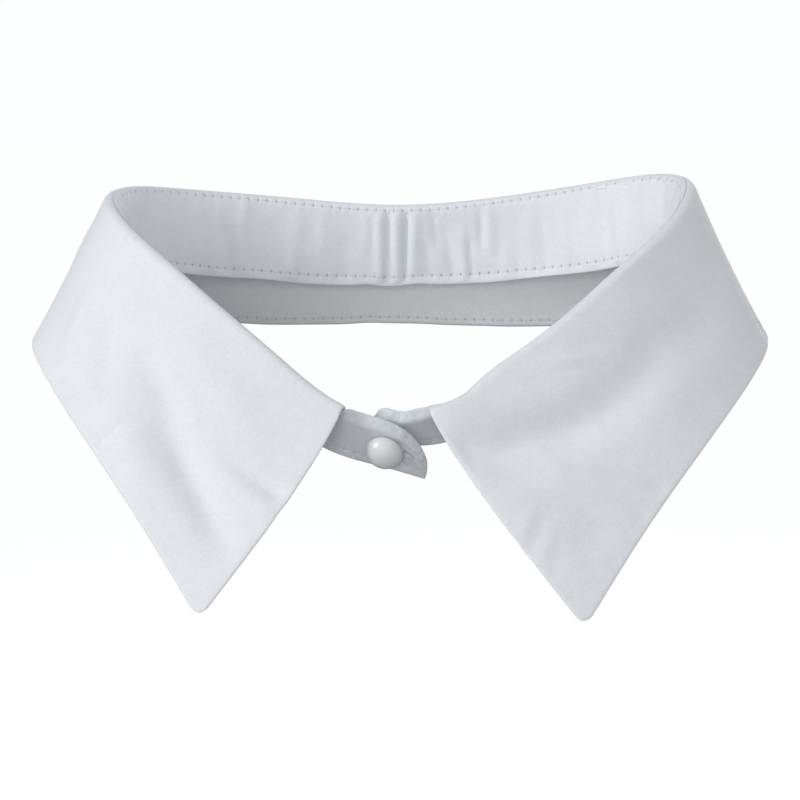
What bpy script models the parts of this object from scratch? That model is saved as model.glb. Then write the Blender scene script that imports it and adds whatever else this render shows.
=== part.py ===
"""Detachable shirt collar, buttoned at the throat and standing open round an empty neck.

The collar is four pieces of cotton and one pearl button. Two stand pieces lie back to
back and go round the neck, and their ends overlap at the throat. Two leaf pieces roll
over the top of the stand and hang outside it, down to the points.

The frame is +Z up with the wearer facing -Y, so +X is the wearer's left. The origin is
the middle of the neck opening. The tables hold millimetres and degrees; MM turns them
into metres.
"""
import math
from typing import NamedTuple

import bmesh
import bpy
import numpy as np
from mathutils import Matrix, Vector

MM = 0.001

PLY = 1.0             # thickness of one piece of cloth
GAP = 0.3             # between two plies
SEAM_GAP = 0.45       # between the stand's top and the start of the roll
ROLL_RADIUS = 2.2     # middle of the two leaf plies where they roll over the stand
ROLL_STEPS = 5
LEAF_STEPS = 6
COLUMNS = 54          # along the leaf, from point to point
TIP_LENGTH = 4.5      # the leaf's points are blunt: how far back from the front edge,
TIP_DEPTH = 4.5       # and how much of the front edge is lost

RIGHT_FRONT_BOW = 1.7     # the front edges are cut with a slight outward curve
LEFT_FRONT_BOW = 0.8
FRONT_BOW_REACH = 25.0    # how far back from the front edge the curve is felt
FRONT_BOW_RISE = 0.7      # under 1, it is fullest nearer the fold than the point

BUTTONHOLE_END_LENGTH = 13.0      # upper corner of the buttonhole end, rounded off
BUTTONHOLE_END_DEPTH = 12.0
BUTTON_END_LENGTH = 5.0           # and of the button end, which lies behind it
BUTTON_END_DEPTH = 5.0
CORNER_ANGLES = (0, 30, 60, 90)
KNEE_BELOW_TOP = 0.8

HOLE_WIDTH = 1.8
HOLE_BEHIND = 1.2     # from the stem's middle back towards the leaf
HOLE_AHEAD = 6.5      # from the stem's middle towards the end of the stand
STEM_AT = -2.1        # the button's place along X
STEM_RADIUS = 0.6
STEM_START = -2.6     # stem's ends, outward from the middle of the buttonhole end
STEM_END = 1.3
BUTTON_RADIUS = 4.3
BUTTON_RIM = 0.6
BUTTON_HEIGHT = 3.5
BUTTON_BACK = 1.6     # outward from the middle of the buttonhole end
BUTTON_SIDES = 32

UP = np.array((0.0, 0.0, 1.0))


class StandSection(NamedTuple):
    """A cut across the stand: its foot, its height and its outward lean."""

    place: str
    foot_x: float
    foot_y: float
    foot_z: float
    height: float
    lean: float


class LeafSection(NamedTuple):
    """Where the leaf's lower edge lies, opposite the stand section of the same place."""

    place: str
    edge_x: float
    edge_y: float
    edge_z: float


# From the wearer's right end, round the nape, to the wearer's left end.
STAND = (
    StandSection("right end",     7.0, -50.5, -14.5, 14.0, 38),
    StandSection("right button", -3.0, -49.5, -11.7, 14.5, 38),
    StandSection("right front",  -13.4, -47.0, -9.0, 15.0, 36),
    StandSection("right chest",  -34.0, -39.0,  3.2, 16.0, 26),
    StandSection("right throat", -52.0, -27.0, 16.5, 17.0, 18),
    StandSection("right side",   -64.4, -10.0, 27.5, 18.0, 13),
    StandSection("right ear",    -66.0,  15.0, 32.5, 19.0,  8),
    StandSection("right back",   -54.0,  36.0, 30.5, 20.0,  3),
    StandSection("right nape",   -31.0,  47.0, 28.0, 20.0, -2),
    StandSection("nape",           0.0,  50.0, 26.8, 19.0, -4),
    StandSection("left nape",     31.0,  47.0, 28.5, 20.0, -2),
    StandSection("left back",     54.0,  36.0, 31.5, 21.2,  3),
    StandSection("left ear",      67.5,  15.0, 35.0, 19.7,  8),
    StandSection("left side",     65.0, -10.0, 28.0, 18.0, 13),
    StandSection("left throat",   51.0, -27.0, 15.0, 17.0, 20),
    StandSection("left chest",    31.0, -38.0,  1.0, 15.9, 29),
    StandSection("left collarbone", 18.5, -41.5, -4.3, 15.2, 41),
    StandSection("left front",     8.9, -43.9, -6.8, 14.5, 51),
    StandSection("left button",    1.0, -43.0, -6.5, 13.0, 56),
    StandSection("left end",      -7.0, -42.0, -3.6, 12.5, 55),
)

LEAF = (
    LeafSection("right front",  -47.0, -78.0, -46.0),
    LeafSection("right chest",  -61.3, -63.0, -23.2),
    LeafSection("right throat", -77.5, -45.0,  -2.5),
    LeafSection("right side",   -91.0, -14.0,  13.2),
    LeafSection("right ear",    -88.0,  21.0,  16.0),
    LeafSection("right back",   -66.0,  49.0,  16.5),
    LeafSection("right nape",   -35.0,  59.0,  15.5),
    LeafSection("nape",           0.0,  61.0,  15.8),
    LeafSection("left nape",     35.0,  59.0,  14.9),
    LeafSection("left back",     66.0,  49.0,  16.0),
    LeafSection("left ear",      89.7,  21.0,  17.3),
    LeafSection("left side",     93.0, -14.0,  13.5),
    LeafSection("left throat",   77.1, -45.0,  -4.4),
    LeafSection("left chest",    59.6, -62.0, -25.7),
    LeafSection("left front",    44.4, -79.0, -46.7),
)


class SmoothTable:
    """Natural cubic spline through the rows of a table."""

    def __init__(self, stations, rows):
        self.stations = np.asarray(stations, float)
        self.rows = np.asarray(rows, float)
        spans = np.diff(self.stations)
        count = len(self.stations)
        matrix = np.eye(count)
        right_side = np.zeros_like(self.rows)
        rises = np.diff(self.rows, axis=0) / spans[:, None]
        for row in range(1, count - 1):
            matrix[row, row - 1] = spans[row - 1]
            matrix[row, row] = 2 * (spans[row - 1] + spans[row])
            matrix[row, row + 1] = spans[row]
            right_side[row] = 3 * (rises[row] - rises[row - 1])
        self.bends = np.linalg.solve(matrix, right_side)
        self.slopes = rises - spans[:, None] * (2 * self.bends[:-1] + self.bends[1:]) / 3
        self.twists = np.diff(self.bends, axis=0) / (3 * spans[:, None])

    def __call__(self, stations):
        """Give one row of values for each station."""
        stations = np.atleast_1d(stations)
        span = np.clip(np.searchsorted(self.stations, stations) - 1, 0, len(self.slopes) - 1)
        step = (stations - self.stations[span])[:, None]
        cubic = self.bends[span] + self.twists[span] * step
        return self.rows[span] + (self.slopes[span] + cubic * step) * step


def unit(vectors):
    """Scale each vector to length one."""
    return vectors / np.linalg.norm(vectors, axis=-1, keepdims=True)


def foot_stations():
    """Distance along the foot from the nape to each stand section."""
    feet = np.array([(row.foot_x, row.foot_y, row.foot_z) for row in STAND])
    steps = np.linalg.norm(np.diff(feet, axis=0), axis=1)
    along = np.concatenate(([0.0], np.cumsum(steps)))
    nape = [row.place for row in STAND].index("nape")
    return along - along[nape]


STATIONS = foot_stations()
STATION_OF = {row.place: station for row, station in zip(STAND, STATIONS)}
LEAF_START = STATION_OF["right front"]
LEAF_END = STATION_OF["left front"]
STAND_CURVE = SmoothTable(STATIONS, [row[1:] for row in STAND])
LEAF_CURVE = SmoothTable([STATION_OF[row.place] for row in LEAF], [row[1:] for row in LEAF])
STEP_ALONG = 0.5      # used for directions only
STEP_ACROSS = 0.01


def across_frame(stations, points_at):
    """Up and outward directions square to a line, at each station."""
    along = unit(points_at(stations + STEP_ALONG) - points_at(stations - STEP_ALONG))
    up = unit(UP - (along @ UP)[:, None] * along)
    outward = np.cross(up, along)
    return along, up, outward


def foot_line(stations):
    """Points of the stand's foot."""
    return STAND_CURVE(stations)[:, :3]


def stand_rise(stations):
    """Direction from the stand's foot to its top."""
    _, up, outward = across_frame(stations, foot_line)
    lean = np.radians(STAND_CURVE(stations)[:, 4:5])
    return np.cos(lean) * up + np.sin(lean) * outward


def stand_middle(stations, share):
    """Points between the two stand plies, at a share of the height."""
    height = STAND_CURVE(stations)[:, 3:4]
    return foot_line(stations) + share * height * stand_rise(stations)


def fold_line(stations):
    """Points of the stand's top, where the leaf starts to roll."""
    return stand_middle(stations, 1.0)


def front_bow(stations, drop):
    """How far the leaf is moved along the fold by the curve of its front edges."""
    from_right = np.clip(1 - (stations - LEAF_START) / FRONT_BOW_REACH, 0, 1)
    from_left = np.clip(1 - (LEAF_END - stations) / FRONT_BOW_REACH, 0, 1)
    pull = LEFT_FRONT_BOW * from_left ** 2 - RIGHT_FRONT_BOW * from_right ** 2
    return pull * np.sin(math.pi * np.clip(drop, 0, 1) ** FRONT_BOW_RISE)


def leaf_middle(stations, share):
    """Points between the two leaf plies.

    The share runs from -1 at the stand's top to 0 at the end of the roll, and on to 1
    at the leaf's lower edge.
    """
    along, up, outward = across_frame(stations, fold_line)
    stand_face = unit(np.cross(stand_rise(stations), along))
    centre = fold_line(stations) + ROLL_RADIUS * stand_face
    edge = LEAF_CURVE(stations)
    reach = edge - centre
    reach_out = np.sum(reach * outward, axis=1)
    reach_up = np.sum(reach * up, axis=1)
    tangent = np.arccos(ROLL_RADIUS / np.hypot(reach_out, reach_up))
    end_angle = np.arctan2(reach_up, reach_out) + tangent
    start_angle = np.arctan2(-np.sum(stand_face * up, axis=1), -np.sum(stand_face * outward, axis=1))
    start_angle = np.mod(start_angle, math.tau)
    angle = end_angle + np.minimum(share, 0.0) * (end_angle - start_angle)
    spoke = np.cos(angle)[:, None] * outward + np.sin(angle)[:, None] * up
    roll = centre + ROLL_RADIUS * spoke
    drop = np.maximum(share, 0.0)
    return roll + drop[:, None] * (edge - roll) + front_bow(stations, drop)[:, None] * along


def offset_surface(middle, stations, shares, distance):
    """Points moved square out from a middle surface by a distance."""
    ahead = middle(stations + STEP_ALONG, shares) - middle(stations - STEP_ALONG, shares)
    higher = middle(stations, shares + STEP_ACROSS) - middle(stations, shares - STEP_ACROSS)
    return middle(stations, shares) + distance * unit(np.cross(higher, ahead))


def stand_surface(stations, shares, distance):
    """Points of a stand ply; the distance is outward from between the plies."""
    return offset_surface(lambda along, share: stand_middle(along, share[:, None]),
                          stations, shares, distance)


def leaf_surface(stations, shares, distance):
    """Points of a leaf ply; the distance is towards the stand, from between the plies."""
    return offset_surface(leaf_middle, stations, shares, distance)


def rounded(distance_to_end, length, depth):
    """What a rounded corner takes off, at a distance from the end."""
    inside = np.clip(1 - distance_to_end / length, 0.0, 1.0)
    return depth * (1 - np.sqrt(1 - inside ** 2))


def corner_columns(end, length):
    """Extra stations where a corner is rounded, the last one at the end."""
    inward = -math.copysign(length, end)
    return [end + inward * (1 - math.sin(math.radians(angle))) for angle in CORNER_ANGLES]


def leaf_columns():
    """Stations along the leaf, closer together at its points."""
    inner_start = LEAF_START + TIP_LENGTH
    inner_end = LEAF_END - TIP_LENGTH
    columns = list(np.linspace(inner_start, inner_end, COLUMNS + 1)[1:-1])
    columns += corner_columns(LEAF_START, TIP_LENGTH)
    columns += corner_columns(LEAF_END, TIP_LENGTH)
    return sorted(columns)


def button_station():
    """Station of the buttonhole end that lies under the button."""
    candidates = np.linspace(STATIONS[0], LEAF_START, 401)
    middles = stand_middle(candidates, 0.5)
    return float(candidates[np.argmin(np.abs(middles[:, 0] - STEM_AT))])


def hole_columns():
    """Stations of the buttonhole's two ends; the end of the stand is the low one."""
    stem = button_station()
    return stem - HOLE_AHEAD, stem + HOLE_BEHIND


def stand_columns():
    """Stations along the stand: the leaf's own, and the two ends past it."""
    columns = leaf_columns()
    columns += corner_columns(STATIONS[0], BUTTONHOLE_END_LENGTH)
    columns += corner_columns(STATIONS[-1], BUTTON_END_LENGTH)
    hole_start, hole_end = hole_columns()
    columns = [column for column in columns if not hole_start - 1 < column < hole_end + 1]
    columns += list(np.linspace(hole_start, hole_end, 4))
    columns.append((hole_end + LEAF_START) / 2)
    columns.append(LEAF_END + 3.0)
    columns.append(LEAF_END + 7.0)
    return sorted(columns)


def stand_rows():
    """Rows of the stand's grid, foot to top; the third and fourth edge the buttonhole."""
    half = HOLE_WIDTH / 2 / STAND_CURVE(button_station())[0, 3]
    return [0.0, 0.22, 0.5 - half, 0.5 + half, 0.78, 1.0]


def stand_top_share(stations):
    """How much of the height is left below the seam and the rounded ends."""
    height = STAND_CURVE(stations)[:, 3]
    from_buttonhole_end = rounded(stations - STATIONS[0], BUTTONHOLE_END_LENGTH, BUTTONHOLE_END_DEPTH)
    from_button_end = rounded(STATIONS[-1] - stations, BUTTON_END_LENGTH, BUTTON_END_DEPTH)
    return 1.0 - (SEAM_GAP + from_buttonhole_end + from_button_end) / height


def stand_share(stations, row):
    """Share of the full height at which a row of the grid lies.

    The rows up to the buttonhole's upper edge stay straight until a rounded end
    comes down to them.
    """
    top = stand_top_share(stations)
    knee = stand_rows()[3]
    knee_here = np.minimum(knee, KNEE_BELOW_TOP * top)
    above = knee_here + (row - knee) / (1 - knee) * (top - knee_here)
    return np.where(row <= knee, row / knee * knee_here, above)


def leaf_share_scale(stations):
    """How much of the leaf is left at its rounded points."""
    reach = np.linalg.norm(LEAF_CURVE(stations) - fold_line(stations), axis=1)
    from_right = rounded(stations - LEAF_START, TIP_LENGTH, TIP_DEPTH)
    from_left = rounded(LEAF_END - stations, TIP_LENGTH, TIP_DEPTH)
    return 1.0 - (from_right + from_left) / reach


def clear_scene():
    """Remove the objects that are in the file already."""
    for old in list(bpy.data.objects):
        bpy.data.objects.remove(old, do_unlink=True)


def make_material(name, colour, roughness):
    """A Principled material with one colour."""
    material = bpy.data.materials.new(name)
    material.use_nodes = True
    shader = material.node_tree.nodes["Principled BSDF"]
    shader.inputs["Base Color"].default_value = (*colour, 1.0)
    shader.inputs["Roughness"].default_value = roughness
    shader.inputs["Metallic"].default_value = 0.0
    return material


def add_object(name, shape, material):
    """Turn a bmesh into a smooth-shaded object with its material."""
    mesh = bpy.data.meshes.new(name)
    shape.to_mesh(mesh)
    shape.free()
    mesh.materials.append(material)
    mesh.shade_smooth()
    mesh.set_sharp_from_angle(angle=math.radians(40))
    piece = bpy.data.objects.new(name, mesh)
    bpy.context.scene.collection.objects.link(piece)
    return piece


def cloth_piece(name, columns, rows, place, material, hole=None):
    """One piece of cloth, from a flat grid laid over its surface and then thickened.

    place takes two equal lists, of stations and of row values, and gives a point for
    each pair. hole, if there is one, tells from a cell's low corner if it is cut away.
    """
    shape = bmesh.new()
    bmesh.ops.create_grid(shape, x_segments=len(columns) - 1, y_segments=len(rows) - 1, size=1.0)
    column_of = {}
    row_of = {}
    for vertex in shape.verts:
        column_of[vertex] = columns[round((vertex.co.x + 1) / 2 * (len(columns) - 1))]
        row_of[vertex] = rows[round((vertex.co.y + 1) / 2 * (len(rows) - 1))]
    if hole:
        cut = [face for face in shape.faces
               if hole(min(column_of[vertex] for vertex in face.verts),
                       min(row_of[vertex] for vertex in face.verts))]
        bmesh.ops.delete(shape, geom=cut, context='FACES')
    vertices = list(shape.verts)
    points = place(np.array([column_of[vertex] for vertex in vertices]),
                   np.array([row_of[vertex] for vertex in vertices]))
    for vertex, point in zip(vertices, points):
        vertex.co = Vector(point) * MM
    piece = add_object(name, shape, material)
    thickness = piece.modifiers.new("cloth thickness", 'SOLIDIFY')
    thickness.thickness = PLY * MM
    thickness.offset = 0.0
    thickness.use_even_offset = True
    return piece


def build_stand(name, side, material):
    """One stand ply. side is +1 for the outer ply and -1 for the one at the neck."""
    hole_start, hole_end = hole_columns()
    rows = stand_rows()

    def place(stations, row):
        distance = side * (PLY + GAP) / 2
        return stand_surface(stations, stand_share(stations, row), distance)

    def hole(station, row):
        return hole_start - 1e-6 <= station < hole_end - 1e-6 and row == rows[2]

    return cloth_piece(name, stand_columns(), rows, place, material, hole)


def build_leaf(name, side, material):
    """One leaf ply. side is +1 for the under one and -1 for the one that shows."""
    rows = list(np.linspace(-1.0, 0.0, ROLL_STEPS + 1))
    rows += list(np.linspace(0.0, 1.0, LEAF_STEPS + 1)[1:])

    def place(stations, shares):
        distance = side * (PLY + GAP) / 2
        scale = np.where(shares > 0, leaf_share_scale(stations), 1.0)
        return leaf_surface(stations, shares * scale, distance)

    return cloth_piece(name, leaf_columns(), rows, place, material)


def button_frame():
    """Where the button sits: its axis is square out from the buttonhole end."""
    station = np.array((button_station(),))
    share = stand_share(station, np.array((0.5,)))
    base = stand_surface(station, share, 0.0)[0]
    axis = stand_surface(station, share, 1.0)[0] - base
    turn = Vector(axis).to_track_quat('Z', 'Y').to_matrix().to_4x4()
    return Matrix.Translation(Vector(base) * MM) @ turn


def build_button(frame, material):
    """A domed pearl button with a flat back, turned from its half outline."""
    outline = [(0.0, BUTTON_BACK)]
    middle = BUTTON_BACK + BUTTON_RIM
    for angle in range(-90, 0, 30):
        out = BUTTON_RADIUS - BUTTON_RIM * (1 - math.cos(math.radians(angle)))
        outline.append((out, middle + BUTTON_RIM * math.sin(math.radians(angle))))
    crown = BUTTON_HEIGHT - BUTTON_RIM
    for angle in range(0, 91, 15):
        out = BUTTON_RADIUS * math.cos(math.radians(angle))
        outline.append((out, middle + crown * math.sin(math.radians(angle))))
    shape = bmesh.new()
    points = [shape.verts.new((out * MM, 0.0, height * MM)) for out, height in outline]
    edges = [shape.edges.new(pair) for pair in zip(points, points[1:])]
    bmesh.ops.spin(shape, geom=points + edges, cent=(0, 0, 0), axis=(0, 0, 1),
                   angle=math.tau, steps=BUTTON_SIDES, use_merge=True)
    bmesh.ops.remove_doubles(shape, verts=shape.verts, dist=0.00001)
    bmesh.ops.recalc_face_normals(shape, faces=shape.faces)
    button = add_object("button", shape, material)
    button.matrix_world = frame
    return button


def build_stem(frame, material):
    """The thread that holds the button, through the buttonhole."""
    shape = bmesh.new()
    bmesh.ops.create_cone(shape, cap_ends=True, segments=12, radius1=STEM_RADIUS * MM,
                          radius2=STEM_RADIUS * MM, depth=(STEM_END - STEM_START) * MM)
    stem = add_object("button_thread", shape, material)
    stem.matrix_world = frame @ Matrix.Translation((0, 0, (STEM_START + STEM_END) / 2 * MM))
    return stem


def main():
    """Build the collar."""
    clear_scene()
    upper_cotton = make_material("upper collar cotton", (0.86, 0.88, 0.92), 0.85)
    under_cotton = make_material("under collar cotton", (0.84, 0.86, 0.90), 0.85)
    inner_cotton = make_material("inner stand cotton", (0.85, 0.87, 0.91), 0.85)
    outer_cotton = make_material("outer stand cotton", (0.84, 0.86, 0.90), 0.85)
    pearl = make_material("pearl", (0.88, 0.88, 0.88), 0.25)
    thread = make_material("thread", (0.85, 0.86, 0.89), 0.7)
    build_leaf("upper_collar", -1, upper_cotton)
    build_leaf("under_collar", 1, under_cotton)
    build_stand("stand_inner", -1, inner_cotton)
    build_stand("stand_outer", 1, outer_cotton)
    frame = button_frame()
    build_button(frame, pearl)
    build_stem(frame, thread)


if __name__ == "__main__":
    main()
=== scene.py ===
"""Detachable shirt collar of white cotton poplin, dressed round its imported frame.

Two leaf plies roll over the top of the stand and hang outside it, down to the points. Two
stand plies go round the neck and button at the throat with one pearl button.

The wearer faces -Y and +X is the wearer's left. Tables and sizes are in millimetres and
degrees, and MM turns them into metres where a mesh is made.
"""
import logging
import math
from dataclasses import dataclass, field
from enum import Enum
from typing import Callable, NamedTuple, Optional, Sequence

import bmesh
import bpy
import numpy as np
from mathutils import Matrix, Vector


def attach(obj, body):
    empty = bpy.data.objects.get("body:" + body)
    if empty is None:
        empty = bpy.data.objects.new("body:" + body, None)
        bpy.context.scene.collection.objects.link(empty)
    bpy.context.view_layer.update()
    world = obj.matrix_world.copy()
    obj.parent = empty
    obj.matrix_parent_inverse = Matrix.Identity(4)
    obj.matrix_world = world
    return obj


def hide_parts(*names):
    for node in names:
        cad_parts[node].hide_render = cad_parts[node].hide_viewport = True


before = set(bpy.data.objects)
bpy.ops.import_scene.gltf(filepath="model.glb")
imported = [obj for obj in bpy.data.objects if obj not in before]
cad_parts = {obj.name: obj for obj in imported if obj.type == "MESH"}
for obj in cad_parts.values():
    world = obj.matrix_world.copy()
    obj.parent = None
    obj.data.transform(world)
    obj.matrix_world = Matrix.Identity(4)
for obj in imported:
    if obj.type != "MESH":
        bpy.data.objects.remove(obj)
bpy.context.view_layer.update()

log = logging.getLogger("collar")
MM = 0.001
UP = np.array((0.0, 0.0, 1.0))
STEP_ALONG = 0.5        # half the length over which a direction along the collar is taken
LEAF_STEP = 0.01        # half the share over which a direction across the leaf is taken
BAND_STEP = 0.25        # half the climb over which a direction up the stand is taken
POINTS_AT_ONCE = 1500   # points measured together, so that the table of distances stays small
CREASE_POINTS = 7       # points along the line of each crease
AWAY_FROM_STITCHES = (0.0, 50.0)    # seam map of a ply that no row is sewn on


class StandSection(NamedTuple):
    """A cut across the stand: its foot, its height and its outward lean."""

    place: str
    foot_x: float
    foot_y: float
    foot_z: float
    height: float
    lean: float


class LeafSection(NamedTuple):
    """Where the leaf's lower edge lies, opposite the stand section of the same place."""

    place: str
    edge_x: float
    edge_y: float
    edge_z: float


class Pucker(NamedTuple):
    """A soft ridge (or trough, below zero) that runs up a stand ply."""

    station: float
    low: float
    high: float
    slant: float
    width: float
    depth: float


class FootWave(NamedTuple):
    """A place where an edge hangs lower and stands away from its line."""

    station: float
    width: float
    drop: float
    kick: float


class Ends(Enum):
    """How a crease runs out."""

    BOTH_FADE = "fades at both ends"
    OPENS_OUT = "fades at the first end, full at the second"


class Crease(NamedTuple):
    """A soft ridge (or trough, below zero) in the leaf, between two places on it."""

    from_station: float
    from_share: float
    to_station: float
    to_share: float
    width: float
    depth: float
    ends: Ends


class Side(Enum):
    """The two plies of a pair. The value is the ply's side of the middle surface."""

    NECK = -1.0
    OUTSIDE = 1.0


# From the wearer's right end, round the nape, to the wearer's left end.
STAND = (
    StandSection("right end",     7.0, -50.5, -14.5, 14.0, 38),
    StandSection("right button", -3.0, -49.5, -11.7, 14.5, 38),
    StandSection("right front",  -13.4, -47.0, -9.0, 15.0, 36),
    StandSection("right chest",  -34.0, -39.0,  3.2, 16.0, 26),
    StandSection("right throat", -52.0, -27.0, 16.5, 17.0, 18),
    StandSection("right side",   -65.0, -10.0, 27.5, 18.2, 13),
    StandSection("right ear",    -66.8,  15.0, 32.5, 19.6,  8),
    StandSection("right back",   -54.0,  36.0, 30.5, 20.4,  3),
    StandSection("right nape",   -31.0,  47.0, 28.0, 20.4, -2),
    StandSection("nape",           0.0,  50.0, 26.8, 19.4, -4),
    StandSection("left nape",     31.0,  47.0, 28.5, 20.2, -2),
    StandSection("left back",     54.0,  36.0, 31.5, 21.4,  3),
    StandSection("left ear",      68.8,  15.0, 35.0, 20.3,  8),
    StandSection("left side",     66.2, -10.0, 28.0, 18.3, 13),
    StandSection("left throat",   51.0, -27.0, 15.0, 17.0, 20),
    StandSection("left chest",    31.0, -38.0,  1.0, 15.9, 29),
    StandSection("left collarbone", 18.5, -41.5, -4.3, 15.2, 41),
    StandSection("left front",     8.9, -43.9, -6.8, 14.5, 51),
    StandSection("left button",    1.0, -43.0, -6.5, 13.0, 56),
    StandSection("left end",      -7.0, -42.0, -3.6, 12.5, 55),
)

LEAF = (
    LeafSection("right front",  -46.2, -77.6, -44.9),
    LeafSection("right chest",  -61.3, -63.0, -23.2),
    LeafSection("right throat", -77.5, -45.0,  -2.5),
    LeafSection("right side",   -91.0, -14.0,  13.2),
    LeafSection("right ear",    -88.0,  21.0,  16.0),
    LeafSection("right back",   -66.0,  49.0,  16.5),
    LeafSection("right nape",   -35.0,  59.0,  15.5),
    LeafSection("nape",           0.0,  61.0,  15.8),
    LeafSection("left nape",     35.0,  59.0,  14.9),
    LeafSection("left back",     66.0,  49.0,  16.0),
    LeafSection("left ear",      89.7,  21.0,  17.3),
    LeafSection("left side",     93.0, -14.0,  13.5),
    LeafSection("left throat",   77.1, -45.0,  -4.4),
    LeafSection("left chest",    59.6, -62.0, -25.7),
    LeafSection("left front",    44.2, -78.9, -46.7),
)

# Puckers of the inner stand ply, from the wearer's right ear round to the left one.
INNER_PUCKERS = (
    Pucker(-172, 0.1, 0.8,  1.0, 2.0,  0.22),
    Pucker(-160, 0.3, 1.0, -1.0, 1.8,  0.20),
    Pucker(-149, 0.0, 0.8,  1.5, 2.4,  0.25),
    Pucker(-134, 0.2, 1.0, -1.5, 2.0,  0.22),
    Pucker(-120, 0.0, 0.9,  0.5, 2.6,  0.25),
    Pucker(-107, 0.3, 1.0,  1.0, 2.0,  0.24),
    Pucker(-96,  0.1, 1.0, -1.0, 2.2,  0.28),
    Pucker(-84,  0.3, 1.0,  0.5, 2.0,  0.35),
    Pucker(-73,  0.4, 1.0, -2.5, 2.6, -0.28),
    Pucker(-64,  0.0, 0.7,  2.5, 2.2, -0.25),
    Pucker(-57,  0.2, 1.0,  0.5, 1.6,  0.22),
    Pucker(-51.5, 0.0, 0.9, 0.3, 2.0,  0.30),
    Pucker(-47,  0.0, 0.6, -2.5, 1.7, -0.32),
    Pucker(-43.5, 0.0, 1.0, 0.8, 1.6,  0.32),
    Pucker(-35,  0.2, 0.8,  1.0, 4.0, -0.22),
    Pucker(-28.5, 0.0, 0.9, 1.0, 2.2,  0.26),
    Pucker(-21,  0.4, 1.0,  0.5, 1.8,  0.15),
    Pucker(-14,  0.0, 0.7, -0.8, 2.6, -0.22),
    Pucker(-8.5, 0.5, 1.0,  0.3, 1.4,  0.18),
    Pucker(-4.6, 0.0, 1.0, -0.2, 1.3,  0.42),
    Pucker(-2.3, 0.0, 1.0,  0.2, 0.9, -0.42),
    Pucker(0.3,  0.0, 1.0, -0.3, 1.3,  0.42),
    Pucker(2.6,  0.0, 1.0,  0.9, 0.9, -0.45),
    Pucker(5.0,  0.1, 1.0,  1.6, 1.5,  0.34),
    Pucker(8.6,  0.0, 0.6, -1.2, 1.2, -0.22),
    Pucker(11.5, 0.5, 1.0, -1.8, 1.2, -0.30),
    Pucker(14.5, 0.1, 0.8, -3.5, 1.6, -0.30),
    Pucker(18.6, 0.0, 0.7, -1.0, 1.3,  0.24),
    Pucker(20.6, 0.0, 0.6,  0.0, 1.0, -0.24),
    Pucker(24.0, 0.5, 1.0,  0.9, 1.0, -0.34),
    Pucker(26.3, 0.4, 1.0,  0.5, 1.5,  0.26),
    Pucker(31.0, 0.0, 0.5,  0.6, 1.5,  0.18),
    Pucker(37.0, 0.1, 0.7, -1.0, 2.0,  0.20),
    Pucker(41.5, 0.0, 1.0,  0.3, 1.5, -0.16),
    Pucker(47.5, 0.0, 0.6,  0.5, 1.8,  0.20),
    Pucker(55.0, 0.0, 0.7,  0.2, 2.0,  0.20),
    Pucker(60.5, 0.3, 1.0, -0.5, 2.2, -0.42),
    Pucker(64.5, 0.0, 0.8,  0.6, 1.5,  0.36),
    Pucker(68.0, 0.5, 1.0, -1.4, 1.5, -0.36),
    Pucker(74.0, 0.4, 1.0,  0.8, 1.5,  0.24),
    Pucker(80.5, 0.5, 1.0, -2.0, 1.6, -0.34),
    Pucker(88.0, 0.2, 1.0,  1.0, 2.2,  0.24),
    Pucker(101,  0.0, 0.8, -1.0, 2.4,  0.24),
    Pucker(115,  0.2, 1.0,  1.0, 2.2,  0.22),
    Pucker(131,  0.0, 0.9, -1.0, 2.5,  0.25),
    Pucker(147,  0.2, 1.0,  1.5, 2.0,  0.22),
    Pucker(160,  0.0, 0.8,  0.5, 2.2,  0.20),
    Pucker(174,  0.1, 0.9, -1.0, 1.8,  0.20),
)

# Puckers of the outer stand ply, which the leaf hides.
OUTER_PUCKERS = (
    Pucker(-196, 0.1, 0.7,  1.0, 2.2, -0.24),
    Pucker(-187, 0.0, 0.6,  1.0, 2.0,  0.18),
    Pucker(-168, 0.0, 0.8, -1.0, 2.4,  0.24),
    Pucker(-146, 0.2, 1.0,  1.2, 2.2,  0.24),
    Pucker(-127, 0.0, 0.9,  0.6, 2.6, -0.24),
    Pucker(-104, 0.2, 1.0, -1.0, 2.2,  0.28),
    Pucker(-86,  0.0, 0.8,  1.0, 2.0,  0.24),
    Pucker(-66,  0.3, 1.0, -1.4, 2.0, -0.26),
    Pucker(-48,  0.0, 0.9,  0.6, 1.8,  0.30),
    Pucker(-30,  0.2, 1.0,  1.0, 2.2,  0.24),
    Pucker(-12,  0.0, 0.8, -0.6, 1.6,  0.30),
    Pucker(3,    0.1, 1.0,  0.4, 1.4, -0.34),
    Pucker(17,   0.0, 0.9, -1.0, 1.8,  0.28),
    Pucker(34,   0.2, 1.0,  0.8, 2.2,  0.24),
    Pucker(52,   0.0, 0.8,  0.5, 2.0,  0.26),
    Pucker(71,   0.3, 1.0, -1.2, 2.0, -0.28),
    Pucker(92,   0.0, 0.9,  1.0, 2.4,  0.26),
    Pucker(112,  0.2, 1.0, -0.8, 2.2,  0.24),
    Pucker(136,  0.0, 0.8,  1.2, 2.6,  0.26),
    Pucker(156,  0.1, 1.0, -1.0, 2.2,  0.22),
    Pucker(178,  0.0, 0.8,  0.8, 2.0,  0.20),
)

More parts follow.
